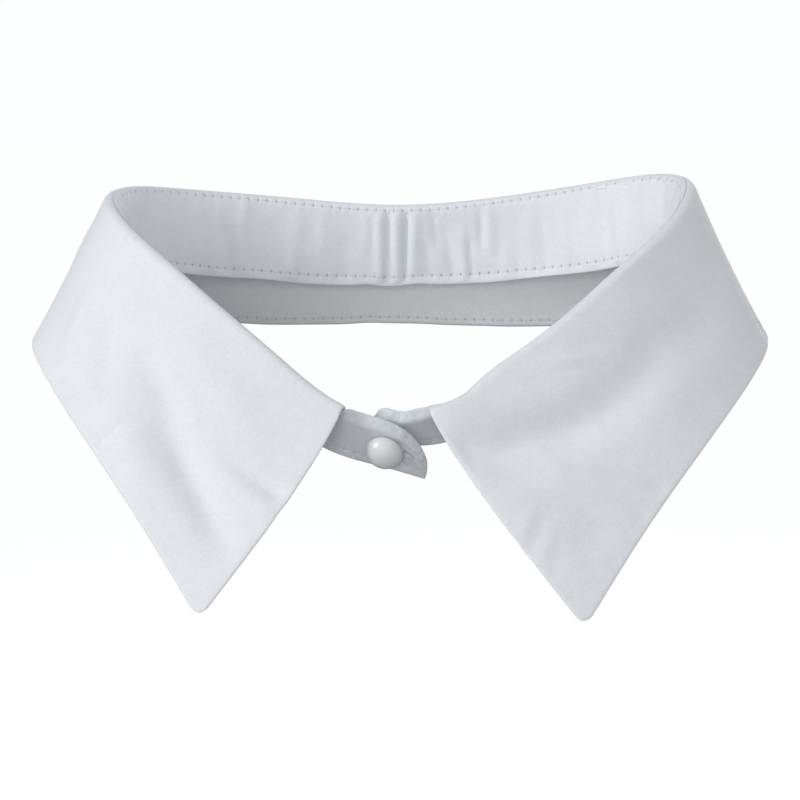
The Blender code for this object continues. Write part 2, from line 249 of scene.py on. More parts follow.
STAND_FOOT_WAVES = (
    FootWave(-140, 14,  0.25, 0.3),
    FootWave(-98,  12, -0.25, 0.4),
    FootWave(-60,   9,  0.10, 0.2),
    FootWave(-37,   7, -0.35, 0.9),
    FootWave(-22,   8,  0.25, 0.0),
    FootWave(-8,    2, -0.30, 0.2),
    FootWave(-2,    3,  0.25, 0.0),
    FootWave(6,     3, -0.45, 0.4),
    FootWave(16,    6,  0.15, 0.0),
    FootWave(26,    6,  0.30, 0.2),
    FootWave(43,    8, -0.20, 0.9),
    FootWave(78,   12,  0.20, 0.3),
    FootWave(122,  14, -0.25, 0.3),
    FootWave(158,  10,  0.25, 0.2),
)

LEAF_EDGE_WAVES = (
    FootWave(-70,  8,  0.25, 0.4),
    FootWave(-40,  7, -0.20, 0.3),
    FootWave(-15,  4,  0.22, 0.2),
    FootWave(-7,   4, -0.15, 0.0),
    FootWave(2,    5,  0.10, 0.2),
    FootWave(13,   5,  0.20, 0.3),
    FootWave(38,   8, -0.15, 0.2),
    FootWave(66,   9,  0.25, 0.4),
)

BOTH = Ends.BOTH_FADE
OPEN = Ends.OPENS_OUT

LEAF_CREASES = (
    # the wearer's right
    Crease(-158, 0.50, -182, 0.41, 1.7, -1.30, OPEN),
    Crease(-162, 0.57, -182, 0.49, 1.9,  0.80, OPEN),
    Crease(-172, 0.56, -182, 0.50, 3.0,  0.35, OPEN),
    Crease(-172, 0.66, -182, 0.64, 2.6,  0.35, OPEN),
    Crease(-170, 0.60, -182, 0.57, 2.4, -0.30, OPEN),
    Crease(-141, 0.57, -181, 0.76, 4.6, -2.70, BOTH),
    Crease(-126, 0.70, -160, 0.92, 5.0,  1.20, BOTH),
    Crease(-113, 0.84, -109, 1.02, 1.3, -0.45, OPEN),
    Crease(-118, 0.78, -113, 1.02, 1.4, -0.85, OPEN),
    Crease(-123, 0.78, -118, 1.02, 1.3, -0.95, OPEN),
    Crease(-128, 0.76, -123, 1.02, 1.4, -1.00, OPEN),
    Crease(-134, 0.80, -130, 1.02, 1.3, -0.80, OPEN),
    Crease(-144, 0.60, -137, 1.02, 2.0, -1.40, OPEN),
    Crease(-149, 0.80, -144, 1.02, 1.5, -0.85, OPEN),
    Crease(-155, 0.88, -151, 1.02, 2.0,  0.25, OPEN),
    Crease(-166, 0.88, -162, 1.02, 2.2, -0.25, OPEN),
    Crease(-110, 0.35, -121, 0.90, 4.0,  1.10, BOTH),
    Crease(-117, 0.30, -133, 0.82, 3.6, -1.60, BOTH),
    Crease(-128, 0.42, -152, 0.55, 4.0, -1.30, BOTH),
    Crease(-133, 0.20, -171, 0.30, 5.0,  0.90, BOTH),
    # the wearer's left
    Crease(191,  0.12, 155, 0.46, 5.5, -3.20, BOTH),
    Crease(170,  0.40, 130, 0.50, 6.0, -3.00, BOTH),
    Crease(142,  0.38, 104, 0.58, 6.5, -2.20, BOTH),
    Crease(130,  0.10, 100, 0.45, 6.0, -1.20, BOTH),
    Crease(177,  0.50, 186.5, 0.60, 1.5,  0.50, OPEN),
    Crease(175,  0.56, 186.5, 0.65, 1.6, -0.50, OPEN),
    Crease(176,  0.63, 186.5, 0.71, 1.5,  0.50, OPEN),
    Crease(178,  0.72, 186.5, 0.79, 1.7, -0.35, OPEN),
    Crease(184,  0.30, 170, 0.50, 3.4, -1.20, BOTH),
    Crease(180,  0.78, 166, 0.84, 4.0, -0.35, BOTH),
    Crease(156,  0.78, 152, 1.02, 1.7, -0.90, OPEN),
    Crease(162,  0.83, 159, 1.02, 1.6, -0.75, OPEN),
    Crease(146,  0.86, 143, 1.02, 2.2,  0.22, OPEN),
    Crease(159,  0.04, 142, 0.28, 1.1,  0.50, BOTH),
    Crease(121,  0.12, 113, 0.55, 2.4, -0.28, BOTH),
    Crease(127,  0.20, 120, 0.60, 2.6,  0.22, BOTH),
    Crease(150,  0.10, 138, 0.30, 5.0, -0.40, BOTH),
    # the back, from the wearer's right ear to the left
    Crease(-92,  0.15, -84, 0.85, 3.6,  0.60, BOTH),
    Crease(-70,  0.30, -76, 1.02, 2.8, -0.60, OPEN),
    Crease(-52,  0.10, -48, 0.80, 3.0,  0.55, BOTH),
    Crease(-40,  0.55, -42, 1.02, 1.8,  0.35, OPEN),
    Crease(-28,  0.35, -33, 1.02, 2.4, -0.50, OPEN),
    Crease(-18,  0.60, -17, 1.02, 1.6,  0.30, OPEN),
    Crease(-10,  0.10, -6,  0.75, 2.4,  0.50, BOTH),
    Crease(9,    0.30, 12,  1.02, 2.4, -0.50, OPEN),
    Crease(21,   0.50, 22,  1.02, 1.7,  0.35, OPEN),
    Crease(31,   0.15, 27,  0.85, 3.0,  0.55, BOTH),
    Crease(54,   0.35, 60,  1.02, 2.8, -0.55, OPEN),
    Crease(79,   0.10, 74,  0.80, 3.6,  0.60, BOTH),
    Crease(98,   0.40, 104, 1.02, 2.8, -0.55, OPEN),
)


class SmoothTable:
    """Natural cubic spline through the rows of a table."""

    def __init__(self, stations: Sequence[float], rows: Sequence[Sequence[float]]) -> None:
        """Fit the spline.

        Args:
            stations: Where each row stands, in rising order.
            rows: The values to pass through, one row for each station.
        """
        self.stations = np.asarray(stations, float)
        self.rows = np.asarray(rows, float)
        spans = np.diff(self.stations)
        count = len(self.stations)
        matrix = np.eye(count)
        right_side = np.zeros_like(self.rows)
        rises = np.diff(self.rows, axis=0) / spans[:, None]
        for row in range(1, count - 1):
            matrix[row, row - 1] = spans[row - 1]
            matrix[row, row] = 2 * (spans[row - 1] + spans[row])
            matrix[row, row + 1] = spans[row]
            right_side[row] = 3 * (rises[row] - rises[row - 1])
        self.bends = np.linalg.solve(matrix, right_side)
        self.slopes = rises - spans[:, None] * (2 * self.bends[:-1] + self.bends[1:]) / 3
        self.twists = np.diff(self.bends, axis=0) / (3 * spans[:, None])

    def __call__(self, stations: np.ndarray) -> np.ndarray:
        """Read the spline.

        Args:
            stations: Where to read it.

        Returns:
            One row of values for each station.
        """
        stations = np.atleast_1d(stations)
        span = np.clip(np.searchsorted(self.stations, stations) - 1, 0, len(self.slopes) - 1)
        step = (stations - self.stations[span])[:, None]
        cubic = self.bends[span] + self.twists[span] * step
        return self.rows[span] + (self.slopes[span] + cubic * step) * step


def unit(vectors: np.ndarray) -> np.ndarray:
    """Scale each vector to length one."""
    return vectors / np.maximum(np.linalg.norm(vectors, axis=-1, keepdims=True), 1e-12)


def smooth(value: np.ndarray) -> np.ndarray:
    """Ease a value from 0 to 1, flat at both ends."""
    held = np.clip(value, 0.0, 1.0)
    return held * held * (3 - 2 * held)


def bell(offset: np.ndarray, width: float) -> np.ndarray:
    """One in the middle, falling to 0.37 at the width and on to nothing."""
    return np.exp(-(offset / width) ** 2)


def path_lengths(points: np.ndarray) -> np.ndarray:
    """Length along a path of straight steps, from its first point to each one."""
    steps = np.linalg.norm(np.diff(points, axis=0), axis=1)
    return np.concatenate(([0.0], np.cumsum(steps)))


def rounded(to_end: np.ndarray, length: float, depth: float) -> np.ndarray:
    """What a rounded corner takes off, at a distance from the end.

    Args:
        to_end: Distances from the end.
        length: How far back the rounding starts.
        depth: How much is gone at the end itself.

    Returns:
        The depth taken off at each distance.
    """
    inside = np.clip(1 - to_end / length, 0.0, 1.0)
    return depth * (1 - np.sqrt(1 - inside ** 2))


class Nearest(NamedTuple):
    """Where points lie from a path: how far, and how far along it."""

    away: np.ndarray
    along: np.ndarray


def nearest_on_path(points: np.ndarray, path: np.ndarray) -> Nearest:
    """Find the nearest place on a path of straight steps.

    Args:
        points: The points, one a row, in two or three dimensions.
        path: The path's corners, in the same dimensions.

    Returns:
        The distance and the length along the path, for each point.
    """
    starts = path[:-1]
    steps = np.diff(path, axis=0)
    lengths = np.linalg.norm(steps, axis=1)
    before = path_lengths(path)[:-1]
    away = np.empty(len(points))
    along = np.empty(len(points))
    for first in range(0, len(points), POINTS_AT_ONCE):
        batch = slice(first, first + POINTS_AT_ONCE)
        some = points[batch]
        offset = some[:, None, :] - starts[None]
        share = np.clip(np.sum(offset * steps, axis=2) / lengths ** 2, 0.0, 1.0)
        gap = share[:, :, None] * steps - offset
        distance = np.linalg.norm(gap, axis=2)
        best = np.argmin(distance, axis=1)
        rows = np.arange(len(some))
        away[batch] = distance[rows, best]
        along[batch] = before[best] + share[rows, best] * lengths[best]
    return Nearest(away, along)


def square_to_path(path: np.ndarray, along: np.ndarray) -> np.ndarray:
    """Find the directions square to a flat path, to the left of its run.

    Args:
        path: The path's corners, in two dimensions.
        along: Lengths along it.

    Returns:
        Unit directions, easing from each step of the path to the next.
    """
    steps = np.diff(path, axis=0)
    stops = path_lengths(path)
    turned = unit(np.stack((-steps[:, 1], steps[:, 0]), axis=1))
    corners = np.concatenate((turned[:1], turned[:-1] + turned[1:], turned[-1:]))
    eased = [np.interp(along, stops, corners[:, axis]) for axis in (0, 1)]
    return unit(np.stack(eased, axis=1))


Line = Callable[[np.ndarray], np.ndarray]
Surface = Callable[[np.ndarray, np.ndarray], np.ndarray]


class Facing(NamedTuple):
    """Points of a surface with the directions along it, up it and square to it."""

    points: np.ndarray
    ahead: np.ndarray
    higher: np.ndarray
    outward: np.ndarray


def face(surface: Surface, stations: np.ndarray, across: np.ndarray, step: float) -> Facing:
    """Find a surface's points and directions.

    Args:
        surface: Gives points for stations and a second measure.
        stations: The stations.
        across: The second measure, one for each station.
        step: A small step in the second measure.

    Returns:
        Points and unit directions; on the stand, outward is away from the neck.
    """
    ahead = unit(surface(stations + STEP_ALONG, across) - surface(stations - STEP_ALONG, across))
    higher = unit(surface(stations, across + step) - surface(stations, across - step))
    outward = unit(np.cross(higher, ahead))
    return Facing(surface(stations, across), ahead, higher, outward)


@dataclass
class NeckForm:
    """The shape that every ply follows: the stand round the neck, its roll and the leaf."""

    roll_radius: float = 1.7
    right_front_bow: float = 1.7
    left_front_bow: float = 1.4
    front_bow_reach: float = 25.0
    front_bow_rise: float = 0.7
    back_lap: float = 3.0
    front_lap: float = 1.2
    lap_change_from: float = 70.0
    lap_change_over: float = 35.0
    cover_from: float = 1.0
    cover_over: float = 5.0
    stations: np.ndarray = field(init=False)
    leaf_start: float = field(init=False)
    leaf_end: float = field(init=False)
    stand_curve: SmoothTable = field(init=False)
    leaf_curve: SmoothTable = field(init=False)

    def __post_init__(self) -> None:
        """Measure the foot from the nape and fit the two tables."""
        feet = np.array([row[1:4] for row in STAND])
        along = path_lengths(feet)
        places = [row.place for row in STAND]
        self.stations = along - along[places.index("nape")]
        station_of = dict(zip(places, self.stations))
        self.leaf_start = float(station_of["right front"])
        self.leaf_end = float(station_of["left front"])
        self.stand_curve = SmoothTable(self.stations, [row[1:] for row in STAND])
        leaf_stations = [station_of[row.place] for row in LEAF]
        self.leaf_curve = SmoothTable(leaf_stations, [row[1:] for row in LEAF])

    def height(self, stations: np.ndarray) -> np.ndarray:
        """Height of the stand at each station."""
        return self.stand_curve(stations)[:, 3]

    def foot(self, stations: np.ndarray) -> np.ndarray:
        """Points of the stand's foot."""
        return self.stand_curve(stations)[:, :3]

    def frame_at(self, stations: np.ndarray, line: Line) -> tuple[np.ndarray, ...]:
        """Directions along a line, up from it and outward from it.

        Args:
            stations: Where to look.
            line: Gives the line's points.

        Returns:
            Three sets of unit vectors: along, up and outward.
        """
        along = unit(line(stations + STEP_ALONG) - line(stations - STEP_ALONG))
        up = unit(UP - (along @ UP)[:, None] * along)
        return along, up, np.cross(up, along)

    def rise(self, stations: np.ndarray) -> np.ndarray:
        """Find the direction from the stand's foot to its top.

        Args:
            stations: Where to look.

        Returns:
            Unit vectors.
        """
        _, up, outward = self.frame_at(stations, self.foot)
        lean = np.radians(self.stand_curve(stations)[:, 4:5])
        return np.cos(lean) * up + np.sin(lean) * outward

    def fold(self, stations: np.ndarray) -> np.ndarray:
        """Points of the stand's top, where the leaf starts to roll."""
        return self.foot(stations) + self.height(stations)[:, None] * self.rise(stations)

    def front_bow(self, stations: np.ndarray, drop: np.ndarray) -> np.ndarray:
        """How far the curve of the front edges moves the leaf along its fold.

        Args:
            stations: Stations on the leaf.
            drop: Share of the way down the leaf at each.

        Returns:
            The distance along, towards the wearer's left.
        """
        from_right = np.clip(1 - (stations - self.leaf_start) / self.front_bow_reach, 0, 1)
        from_left = np.clip(1 - (self.leaf_end - stations) / self.front_bow_reach, 0, 1)
        pull = self.left_front_bow * from_left ** 2 - self.right_front_bow * from_right ** 2
        return pull * np.sin(math.pi * np.clip(drop, 0, 1) ** self.front_bow_rise)

    def roll_angles(self, stations: np.ndarray) -> tuple[np.ndarray, ...]:
        """Work out the roll over the top of the stand.

        Args:
            stations: Where to look.

        Returns:
            The roll's centre, its outward and up directions, its first and last angles, the
            leaf's lower edge and the direction along the fold.
        """
        along, up, outward = self.frame_at(stations, self.fold)
        stand_face = unit(np.cross(self.rise(stations), along))
        centre = self.fold(stations) + self.roll_radius * stand_face
        edge = self.leaf_curve(stations)
        reach = edge - centre
        reach_out = np.sum(reach * outward, axis=1)
        reach_up = np.sum(reach * up, axis=1)
        tangent = np.arccos(self.roll_radius / np.hypot(reach_out, reach_up))
        last = np.arctan2(reach_up, reach_out) + tangent
        first = np.arctan2(-np.sum(stand_face * up, axis=1),
                           -np.sum(stand_face * outward, axis=1))
        return centre, outward, up, np.mod(first, math.tau), last, edge, along

    def roll_length(self, stations: np.ndarray) -> np.ndarray:
        """Length of the roll, from the stand's top to where the leaf hangs straight."""
        _, _, _, first, last, _, _ = self.roll_angles(stations)
        return self.roll_radius * (first - last)

    def leaf(self, stations: np.ndarray, share: np.ndarray) -> np.ndarray:
        """Points between the two leaf plies.

        Args:
            stations: Stations along the collar.
            share: From -1 at the stand's top to 0 where the roll ends, and on to 1 at the
                lower edge.

        Returns:
            The points.
        """
        centre, outward, up, first, last, edge, along = self.roll_angles(stations)
        angle = last + np.minimum(share, 0.0) * (last - first)
        spoke = np.cos(angle)[:, None] * outward + np.sin(angle)[:, None] * up
        roll = centre + self.roll_radius * spoke
        drop = np.maximum(share, 0.0)
        bow = self.front_bow(stations, drop)[:, None] * along
        return roll + drop[:, None] * (edge - roll) + bow

    def fall(self, stations: np.ndarray) -> np.ndarray:
        """Length of the leaf from the end of its roll to its lower edge."""
        none = np.zeros_like(stations)
        return np.linalg.norm(self.leaf(stations, none + 1) - self.leaf(stations, none), axis=1)

    def under_leaf(self, stations: np.ndarray) -> np.ndarray:
        """One where the leaf rolls over the stand, easing to none at its front edges."""
        inside = np.minimum(stations - self.leaf_start, self.leaf_end - stations)
        return smooth((inside - self.cover_from) / self.cover_over)

    def lap(self, stations: np.ndarray) -> np.ndarray:
        """How far the stand plies go round the roll, less towards the front edges."""
        to_front = smooth((np.abs(stations) - self.lap_change_from) / self.lap_change_over)
        lap = self.back_lap + (self.front_lap - self.back_lap) * to_front
        return self.under_leaf(stations) * lap

    def band(self, stations: np.ndarray, climb: np.ndarray) -> np.ndarray:
        """Points between the two stand plies, carried on round the roll past the top.

        Args:
            stations: Stations along the collar.
            climb: Distance up from the foot at each.

        Returns:
            The points.
        """
        height = self.height(stations)
        straight = self.foot(stations) + np.minimum(climb, height)[:, None] * self.rise(stations)
        over = np.maximum(climb - height, 0.0)
        rolled = self.leaf(stations, np.minimum(over / self.roll_length(stations), 1.0) - 1.0)
        return np.where(over[:, None] > 0, rolled, straight)


def edge_wave(waves: Sequence[FootWave], stations: np.ndarray) -> tuple[np.ndarray, np.ndarray]:
    """Add up the waves of an edge.

    Args:
        waves: The table of waves.
        stations: Where to look.

    Returns:
        How much lower the edge hangs, and how far it stands away.
    """
    drop = np.zeros_like(stations)
    kick = np.zeros_like(stations)
    for wave in waves:
        share = bell(stations - wave.station, wave.width)
        drop += wave.drop * share
        kick += wave.kick * share
    return drop, kick


@dataclass(frozen=True)
class ClothWall:
    """How two plies lie on each other and close at their edge."""

    wall: float = 0.26
    half: float = 0.45
    edge_half: float = 0.15
    edge_round: float = 0.9

    def spread(self, to_edge: np.ndarray) -> np.ndarray:
        """Distance from the middle surface to a ply's middle, near a closed edge."""
        inside = 1 - np.clip(to_edge / self.edge_round, 0.0, 1.0)
        return self.edge_half + (self.half - self.edge_half) * np.sqrt(1 - inside ** 2)


def arc_lengths(points: np.ndarray, axis: int) -> np.ndarray:
    """Length along a grid of points, from its first column or row.

    Args:
        points: The grid, columns by rows by three.
        axis: 0 to measure along the columns, 1 to measure along the rows.

    Returns:
        The lengths, columns by rows.
    """
    total = np.cumsum(np.linalg.norm(np.diff(points, axis=axis), axis=2), axis=axis)
    start = np.zeros_like(total[:1] if axis == 0 else total[:, :1])
    return np.concatenate((start, total), axis=axis)


def one_mesh(name: str, shape: bmesh.types.BMesh, material: bpy.types.Material) -> bpy.types.Object:
    """Turn a bmesh into a smooth-shaded piece at the origin.

    Args:
        name: The piece's name.
        shape: The bmesh, in metres; it is freed.
        material: Its finish.

    Returns:
        The piece.
    """
    mesh = bpy.data.meshes.new(name)
    shape.to_mesh(mesh)
    shape.free()
    mesh.materials.append(material)
    mesh.shade_smooth()
    piece = bpy.data.objects.new(name, mesh)
    bpy.context.scene.collection.objects.link(piece)
    return piece


def place_in_frame(piece: bpy.types.Object, node: Optional[str] = None) -> None:
    """Hang a piece on the frame's root and hide the frame's node that it replaces.

    Args:
        piece: The piece.
        node: The frame's node that it replaces, or None.
    """
    if node is not None:
        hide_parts(node)
    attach(piece, "root")


def lay_cloth(name: str, points: np.ndarray, seam: np.ndarray, wall: float,
              material: bpy.types.Material,
              cut: Optional[np.ndarray] = None) -> bpy.types.Object:
    """Lay a flat grid of cloth over a surface and thicken it.

    Args:
        name: The piece's name.
        points: Where the grid goes, columns by rows by three, in millimetres.
        seam: For each point, the length along the nearest stitching and the distance to it.
        wall: Thickness of the cloth.
        material: Its finish.
        cut: Cells to cut away, columns by rows, or None.

    Returns:
        The piece.
    """
    columns, rows = points.shape[:2]
    shape = bmesh.new()
    bmesh.ops.create_grid(shape, x_segments=columns - 1, y_segments=rows - 1, size=1.0)
    shape.verts.ensure_lookup_table()
    place = np.array([vertex.co[:2] for vertex in shape.verts])
    across = np.rint((place[:, 0] + 1) / 2 * (columns - 1)).astype(int)
    up = np.rint((place[:, 1] + 1) / 2 * (rows - 1)).astype(int)
    if cut is not None:
        gone = [cell for cell in shape.faces
                if cut[min(across[corner.index] for corner in cell.verts),
                       min(up[corner.index] for corner in cell.verts)]]
        bmesh.ops.delete(shape, geom=gone, context='FACES_ONLY')
    for vertex, spot in zip(shape.verts, points[across, up] * MM):
        vertex.co = spot
    piece = one_mesh(name, shape, material)
    mesh = piece.data
    corners = np.empty(len(mesh.loops), int)
    mesh.loops.foreach_get("vertex_index", corners)
    behind = np.where(points[:, 0, 1] > 0, 0.0, math.inf)
    nape = int(np.argmin(np.abs(points[:, 0, 0]) + behind))
    width = arc_lengths(points, 0)
    flat = np.stack((width - width[nape], arc_lengths(points, 1)), axis=2)
    for label, values in (("cloth", flat), ("seam", seam)):
        layer = mesh.uv_layers.new(name=label)
        layer.data.foreach_set("uv", values[across, up][corners].astype(np.float32).ravel())
    thickness = piece.modifiers.new("cloth thickness", 'SOLIDIFY')
    thickness.thickness = wall * MM
    thickness.offset = 0.0
    return piece


def lie_along(middle: np.ndarray, along: np.ndarray, outward: np.ndarray) -> Matrix:
    """Find the frame of a small thing on the cloth: X along it, Z out of the cloth.

    Args:
        middle: Its middle, in millimetres.
        along: The direction that it lies in.
        outward: The direction out of the cloth.

    Returns:
        The frame, in metres.
    """
    run = Vector(along).normalized()
    out = Vector(outward)
    out = (out - out.dot(run) * run).normalized()
    turn = Matrix((run, out.cross(run), out)).transposed().to_4x4()
    return Matrix.Translation(Vector(middle) * MM) @ turn


@dataclass(frozen=True)
class ThreadBar:
    """One visible bar of thread, its ends sinking into the cloth."""

    length: float = 1.9
    width: float = 0.26
    height: float = 0.16
    sides: int = 6
    rings: int = 5

    def add(self, shape: bmesh.types.BMesh, place: Matrix) -> None:
        """Add the bar to a bmesh.

        Args:
            shape: The bmesh to add to.
            place: The bar's frame, from lie_along.
        """
        halves = (self.length / 2 * MM, self.width / 2 * MM, self.height / 2 * MM, 1.0)
        poles_at_ends = Matrix.Rotation(math.pi / 2, 4, 'Y')
        bmesh.ops.create_uvsphere(shape, u_segments=self.sides, v_segments=self.rings, radius=1.0,
                                  matrix=place @ Matrix.Diagonal(halves) @ poles_at_ends)


# ---------------------------------------------------------------- finishes


Colour = tuple[float, float, float]

# The mottle is colour, partly the cotton's own uneven tone and partly painted shade of its fine
# unevenness.
# How much finer than the rumples each layer of the mottle is, and how strong.
MOTTLE_LAYERS = ((0.5, 0.4), (3.0, 0.3), (12.0, 0.8))
MOTTLE_START = -0.25


def new_group(name: str, place: str, size: str, usual: float,
              outputs: Sequence[str]) -> bpy.types.NodeTree:
    """Start a shader node group that takes a place and a size and gives values.

    Args:
        name: The group's name.
        place: The name of the vector that it reads.
        size: The name of the number that it reads.
        usual: That number's default.
        outputs: The names of the values that it gives.

    Returns:
        The group, with its input and output nodes in place.
    """
    group = bpy.data.node_groups.new(name, 'ShaderNodeTree')
    group.interface.new_socket(place, in_out='INPUT', socket_type='NodeSocketVector')
    number = group.interface.new_socket(size, in_out='INPUT', socket_type='NodeSocketFloat')
    number.default_value = usual
    for label in outputs:
        group.interface.new_socket(label, in_out='OUTPUT', socket_type='NodeSocketFloat')
    group.nodes.new('NodeGroupInput')
    group.nodes.new('NodeGroupOutput')
    return group


class Wiring:
    """Short ways to add and join nodes in a material or a group."""

    def __init__(self, tree: bpy.types.NodeTree) -> None:
        """Keep the tree that the nodes go in."""
        self.tree = tree

    def node(self, kind: str, **settings: object) -> bpy.types.Node:
        """Add a node.

        Args:
            kind: Its type.
            **settings: Its properties.

        Returns:
            The node.
        """
        made = self.tree.nodes.new(kind)
        for label, value in settings.items():
            setattr(made, label, value)
        return made

    def feed(self, value: object, socket: bpy.types.NodeSocket) -> None:
        """Join a socket to another, or set its value.

        Args:
            value: An output socket, a number or a tuple.
            socket: The input to fill.
        """
        if isinstance(value, bpy.types.NodeSocket):
            self.tree.links.new(value, socket)
        else:
            socket.default_value = value

    def math(self, operation: str, *values: object) -> bpy.types.NodeSocket:
        """Add a Math node.

        Args:
            operation: What it works out.
            *values: Its inputs, each an output socket or a number.

        Returns:
            Its output.
        """
        made = self.node('ShaderNodeMath', operation=operation)
        for value, socket in zip(values, made.inputs):
            self.feed(value, socket)
        return made.outputs[0]

    def noise(self, vector: object, scale: object, detail: float) -> bpy.types.NodeSocket:
        """Add a Noise Texture.

        Args:
            vector: Where it is read.
            scale: How fine it is.
            detail: How many finer layers it has.

        Returns:
            Its value.
        """
        made = self.node('ShaderNodeTexNoise')
        for label, value in (("Vector", vector), ("Scale", scale), ("Detail", detail)):
            self.feed(value, made.inputs[label])
        return made.outputs["Fac"]

    def stretch(self, vector: object, x: float, y: float, z: float) -> bpy.types.NodeSocket:
        """Scale a vector.

        Args:
            vector: The vector.
            x: Its scale along X.
            y: Its scale along Y.
            z: Its scale along Z.

        Returns:
            The scaled vector.
        """
        made = self.node('ShaderNodeVectorMath', operation='MULTIPLY')
        self.feed(vector, made.inputs[0])
        made.inputs[1].default_value = (x, y, z)
        return made.outputs[0]

    def mix(self, share: object, first: object, second: object) -> bpy.types.NodeSocket:
        """Mix two colours.

        Args:
            share: How much of the second, from 0 to 1.
            first: An output socket or a colour.
            second: An output socket or a colour.

        Returns:
            The mixed colour.
        """
        made = self.node('ShaderNodeMix', data_type='RGBA')
        self.feed(share, made.inputs[0])
        for colour, socket in ((first, made.inputs[6]), (second, made.inputs[7])):
            self.feed((*colour, 1.0) if isinstance(colour, tuple) else colour, socket)
        return made.outputs[2]

    def bump(self, height: object, distance: float, strength: float = 1.0,
             over: Optional[bpy.types.NodeSocket] = None) -> bpy.types.NodeSocket:
        """Add a Bump node.

        Args:
            height: The height, from 0 to about 1.
            distance: How deep a height of 1 is, in metres.
            strength: How much of it shows.
            over: Another bump's normal, or None.

        Returns:
            The normal.
        """
        made = self.node('ShaderNodeBump')
        made.inputs["Distance"].default_value = distance
        made.inputs["Strength"].default_value = strength
        self.feed(height, made.inputs["Height"])
        if over is not None:
            self.feed(over, made.inputs["Normal"])
        return made.outputs[0]

    def give(self, **values: object) -> None:
        """Join each value to the group's output of that name."""
        for label, value in values.items():
            self.feed(value, self.tree.nodes[1].inputs[label])


@dataclass(frozen=True)
class Finish:
    """A material, with the shader that it starts from."""

    name: str

    def start(self, **sockets: object) -> tuple[bpy.types.Material, Wiring, bpy.types.Node]:
        """Start the material.

        Args:
            **sockets: Values for the shader's own sockets, with underscores for spaces.

        Returns:
            The material, the wiring of its nodes and its shader.
        """
        material = bpy.data.materials.new(self.name)
        material.use_nodes = True
        shader = material.node_tree.nodes["Principled BSDF"]
        for label, value in sockets.items():
            shader.inputs[label.replace("_", " ")].default_value = value
        return material, Wiring(material.node_tree), shader


def plain_weave_group() -> bpy.types.NodeTree:
    """Build the poplin's plain weave, with thick places in its threads.

    Returns:
        A group from a flat map in millimetres and a thread pitch to a height and a shade.
    """
    group = new_group("plain weave", "Cloth Map", "Pitch", 0.3, ("Height", "Shade"))
    wires = Wiring(group)
    entry = group.nodes[0]
    split = wires.node('ShaderNodeSeparateXYZ')
    wires.feed(entry.outputs["Cloth Map"], split.inputs[0])
    turns = wires.math('DIVIDE', math.pi, entry.outputs["Pitch"])
    warp = wires.math('SINE', wires.math('MULTIPLY', split.outputs["X"], turns))
    weft = wires.math('SINE', wires.math('MULTIPLY', split.outputs["Y"], turns))
    crossing = wires.math('MULTIPLY', warp, weft)
    weave = wires.math('MULTIPLY_ADD', crossing, 0.5, 0.5)
    flat, across, along = entry.outputs["Cloth Map"], 2.6, 0.14
    along_warp = wires.noise(wires.stretch(flat, across, along, 1.0), 1.0, 2.0)
    along_weft = wires.noise(wires.stretch(flat, along, across, 1.0), 1.0, 2.0)
    thick = wires.math('ADD', along_warp, along_weft)
    slubs, crossings = 0.9, 0.6
    low = wires.math('MULTIPLY', weave, crossings)
    wires.give(Height=wires.math('MULTIPLY_ADD', thick, slubs, low),
               Shade=wires.math('MULTIPLY', thick, 0.5))
    return group


def soft_rumple_group() -> bpy.types.NodeTree:
    """Build the small unevenness that pressed cotton keeps.

    Returns:
        A group from a place in metres to a height and a broad mottle, which is partly the
        cotton's own tone and partly painted shade of the unevenness.
    """
    group = new_group("soft rumple", "Place", "Scale", 120.0, ("Height", "Mottle"))
    wires = Wiring(group)
    place, scale = group.nodes[0].outputs["Place"], group.nodes[0].outputs["Scale"]
    mottle: object = MOTTLE_START
    for finer, share in MOTTLE_LAYERS:
        patches = wires.noise(place, wires.math('MULTIPLY', scale, finer), 2.0)
        mottle = wires.math('MULTIPLY_ADD', patches, share, mottle)
    wires.give(Height=wires.noise(place, scale, 5.0), Mottle=mottle)
    return group


def stitch_pull_group() -> bpy.types.NodeTree:
    """Build the needle holes and the cloth drawn in between stitches.

    Returns:
        A group from a seam map, of length along and distance away, to a height and a mask
        of the holes, with which the cotton paints shade into the holes.
    """
    group = new_group("stitch pull", "Seam Map", "Pitch", 2.6, ("Height", "Hole"))
    wires = Wiring(group)
    entry = group.nodes[0]
    split = wires.node('ShaderNodeSeparateXYZ')
    wires.feed(entry.outputs["Seam Map"], split.inputs[0])
    turns = wires.math('DIVIDE', split.outputs["X"], entry.outputs["Pitch"])
    swing = wires.math('COSINE', wires.math('MULTIPLY', turns, math.tau))
    between = wires.math('MULTIPLY_ADD', swing, -0.5, 0.5)
    square = wires.math('MULTIPLY', split.outputs["Y"], split.outputs["Y"])
    pull_narrowness, pull_depth, hole_narrowness, hole_shortness = 0.55, 0.45, 10.0, 12.0
    near = wires.math('EXPONENT', wires.math('MULTIPLY', square, -pull_narrowness))
    close = wires.math('EXPONENT', wires.math('MULTIPLY', square, -hole_narrowness))
    hole = wires.math('MULTIPLY', wires.math('POWER', between, hole_shortness), close)
    pulled = wires.math('MULTIPLY', wires.math('MULTIPLY', between, near), -pull_depth)
    wires.give(Height=wires.math('SUBTRACT', pulled, hole), Hole=hole)
    return group


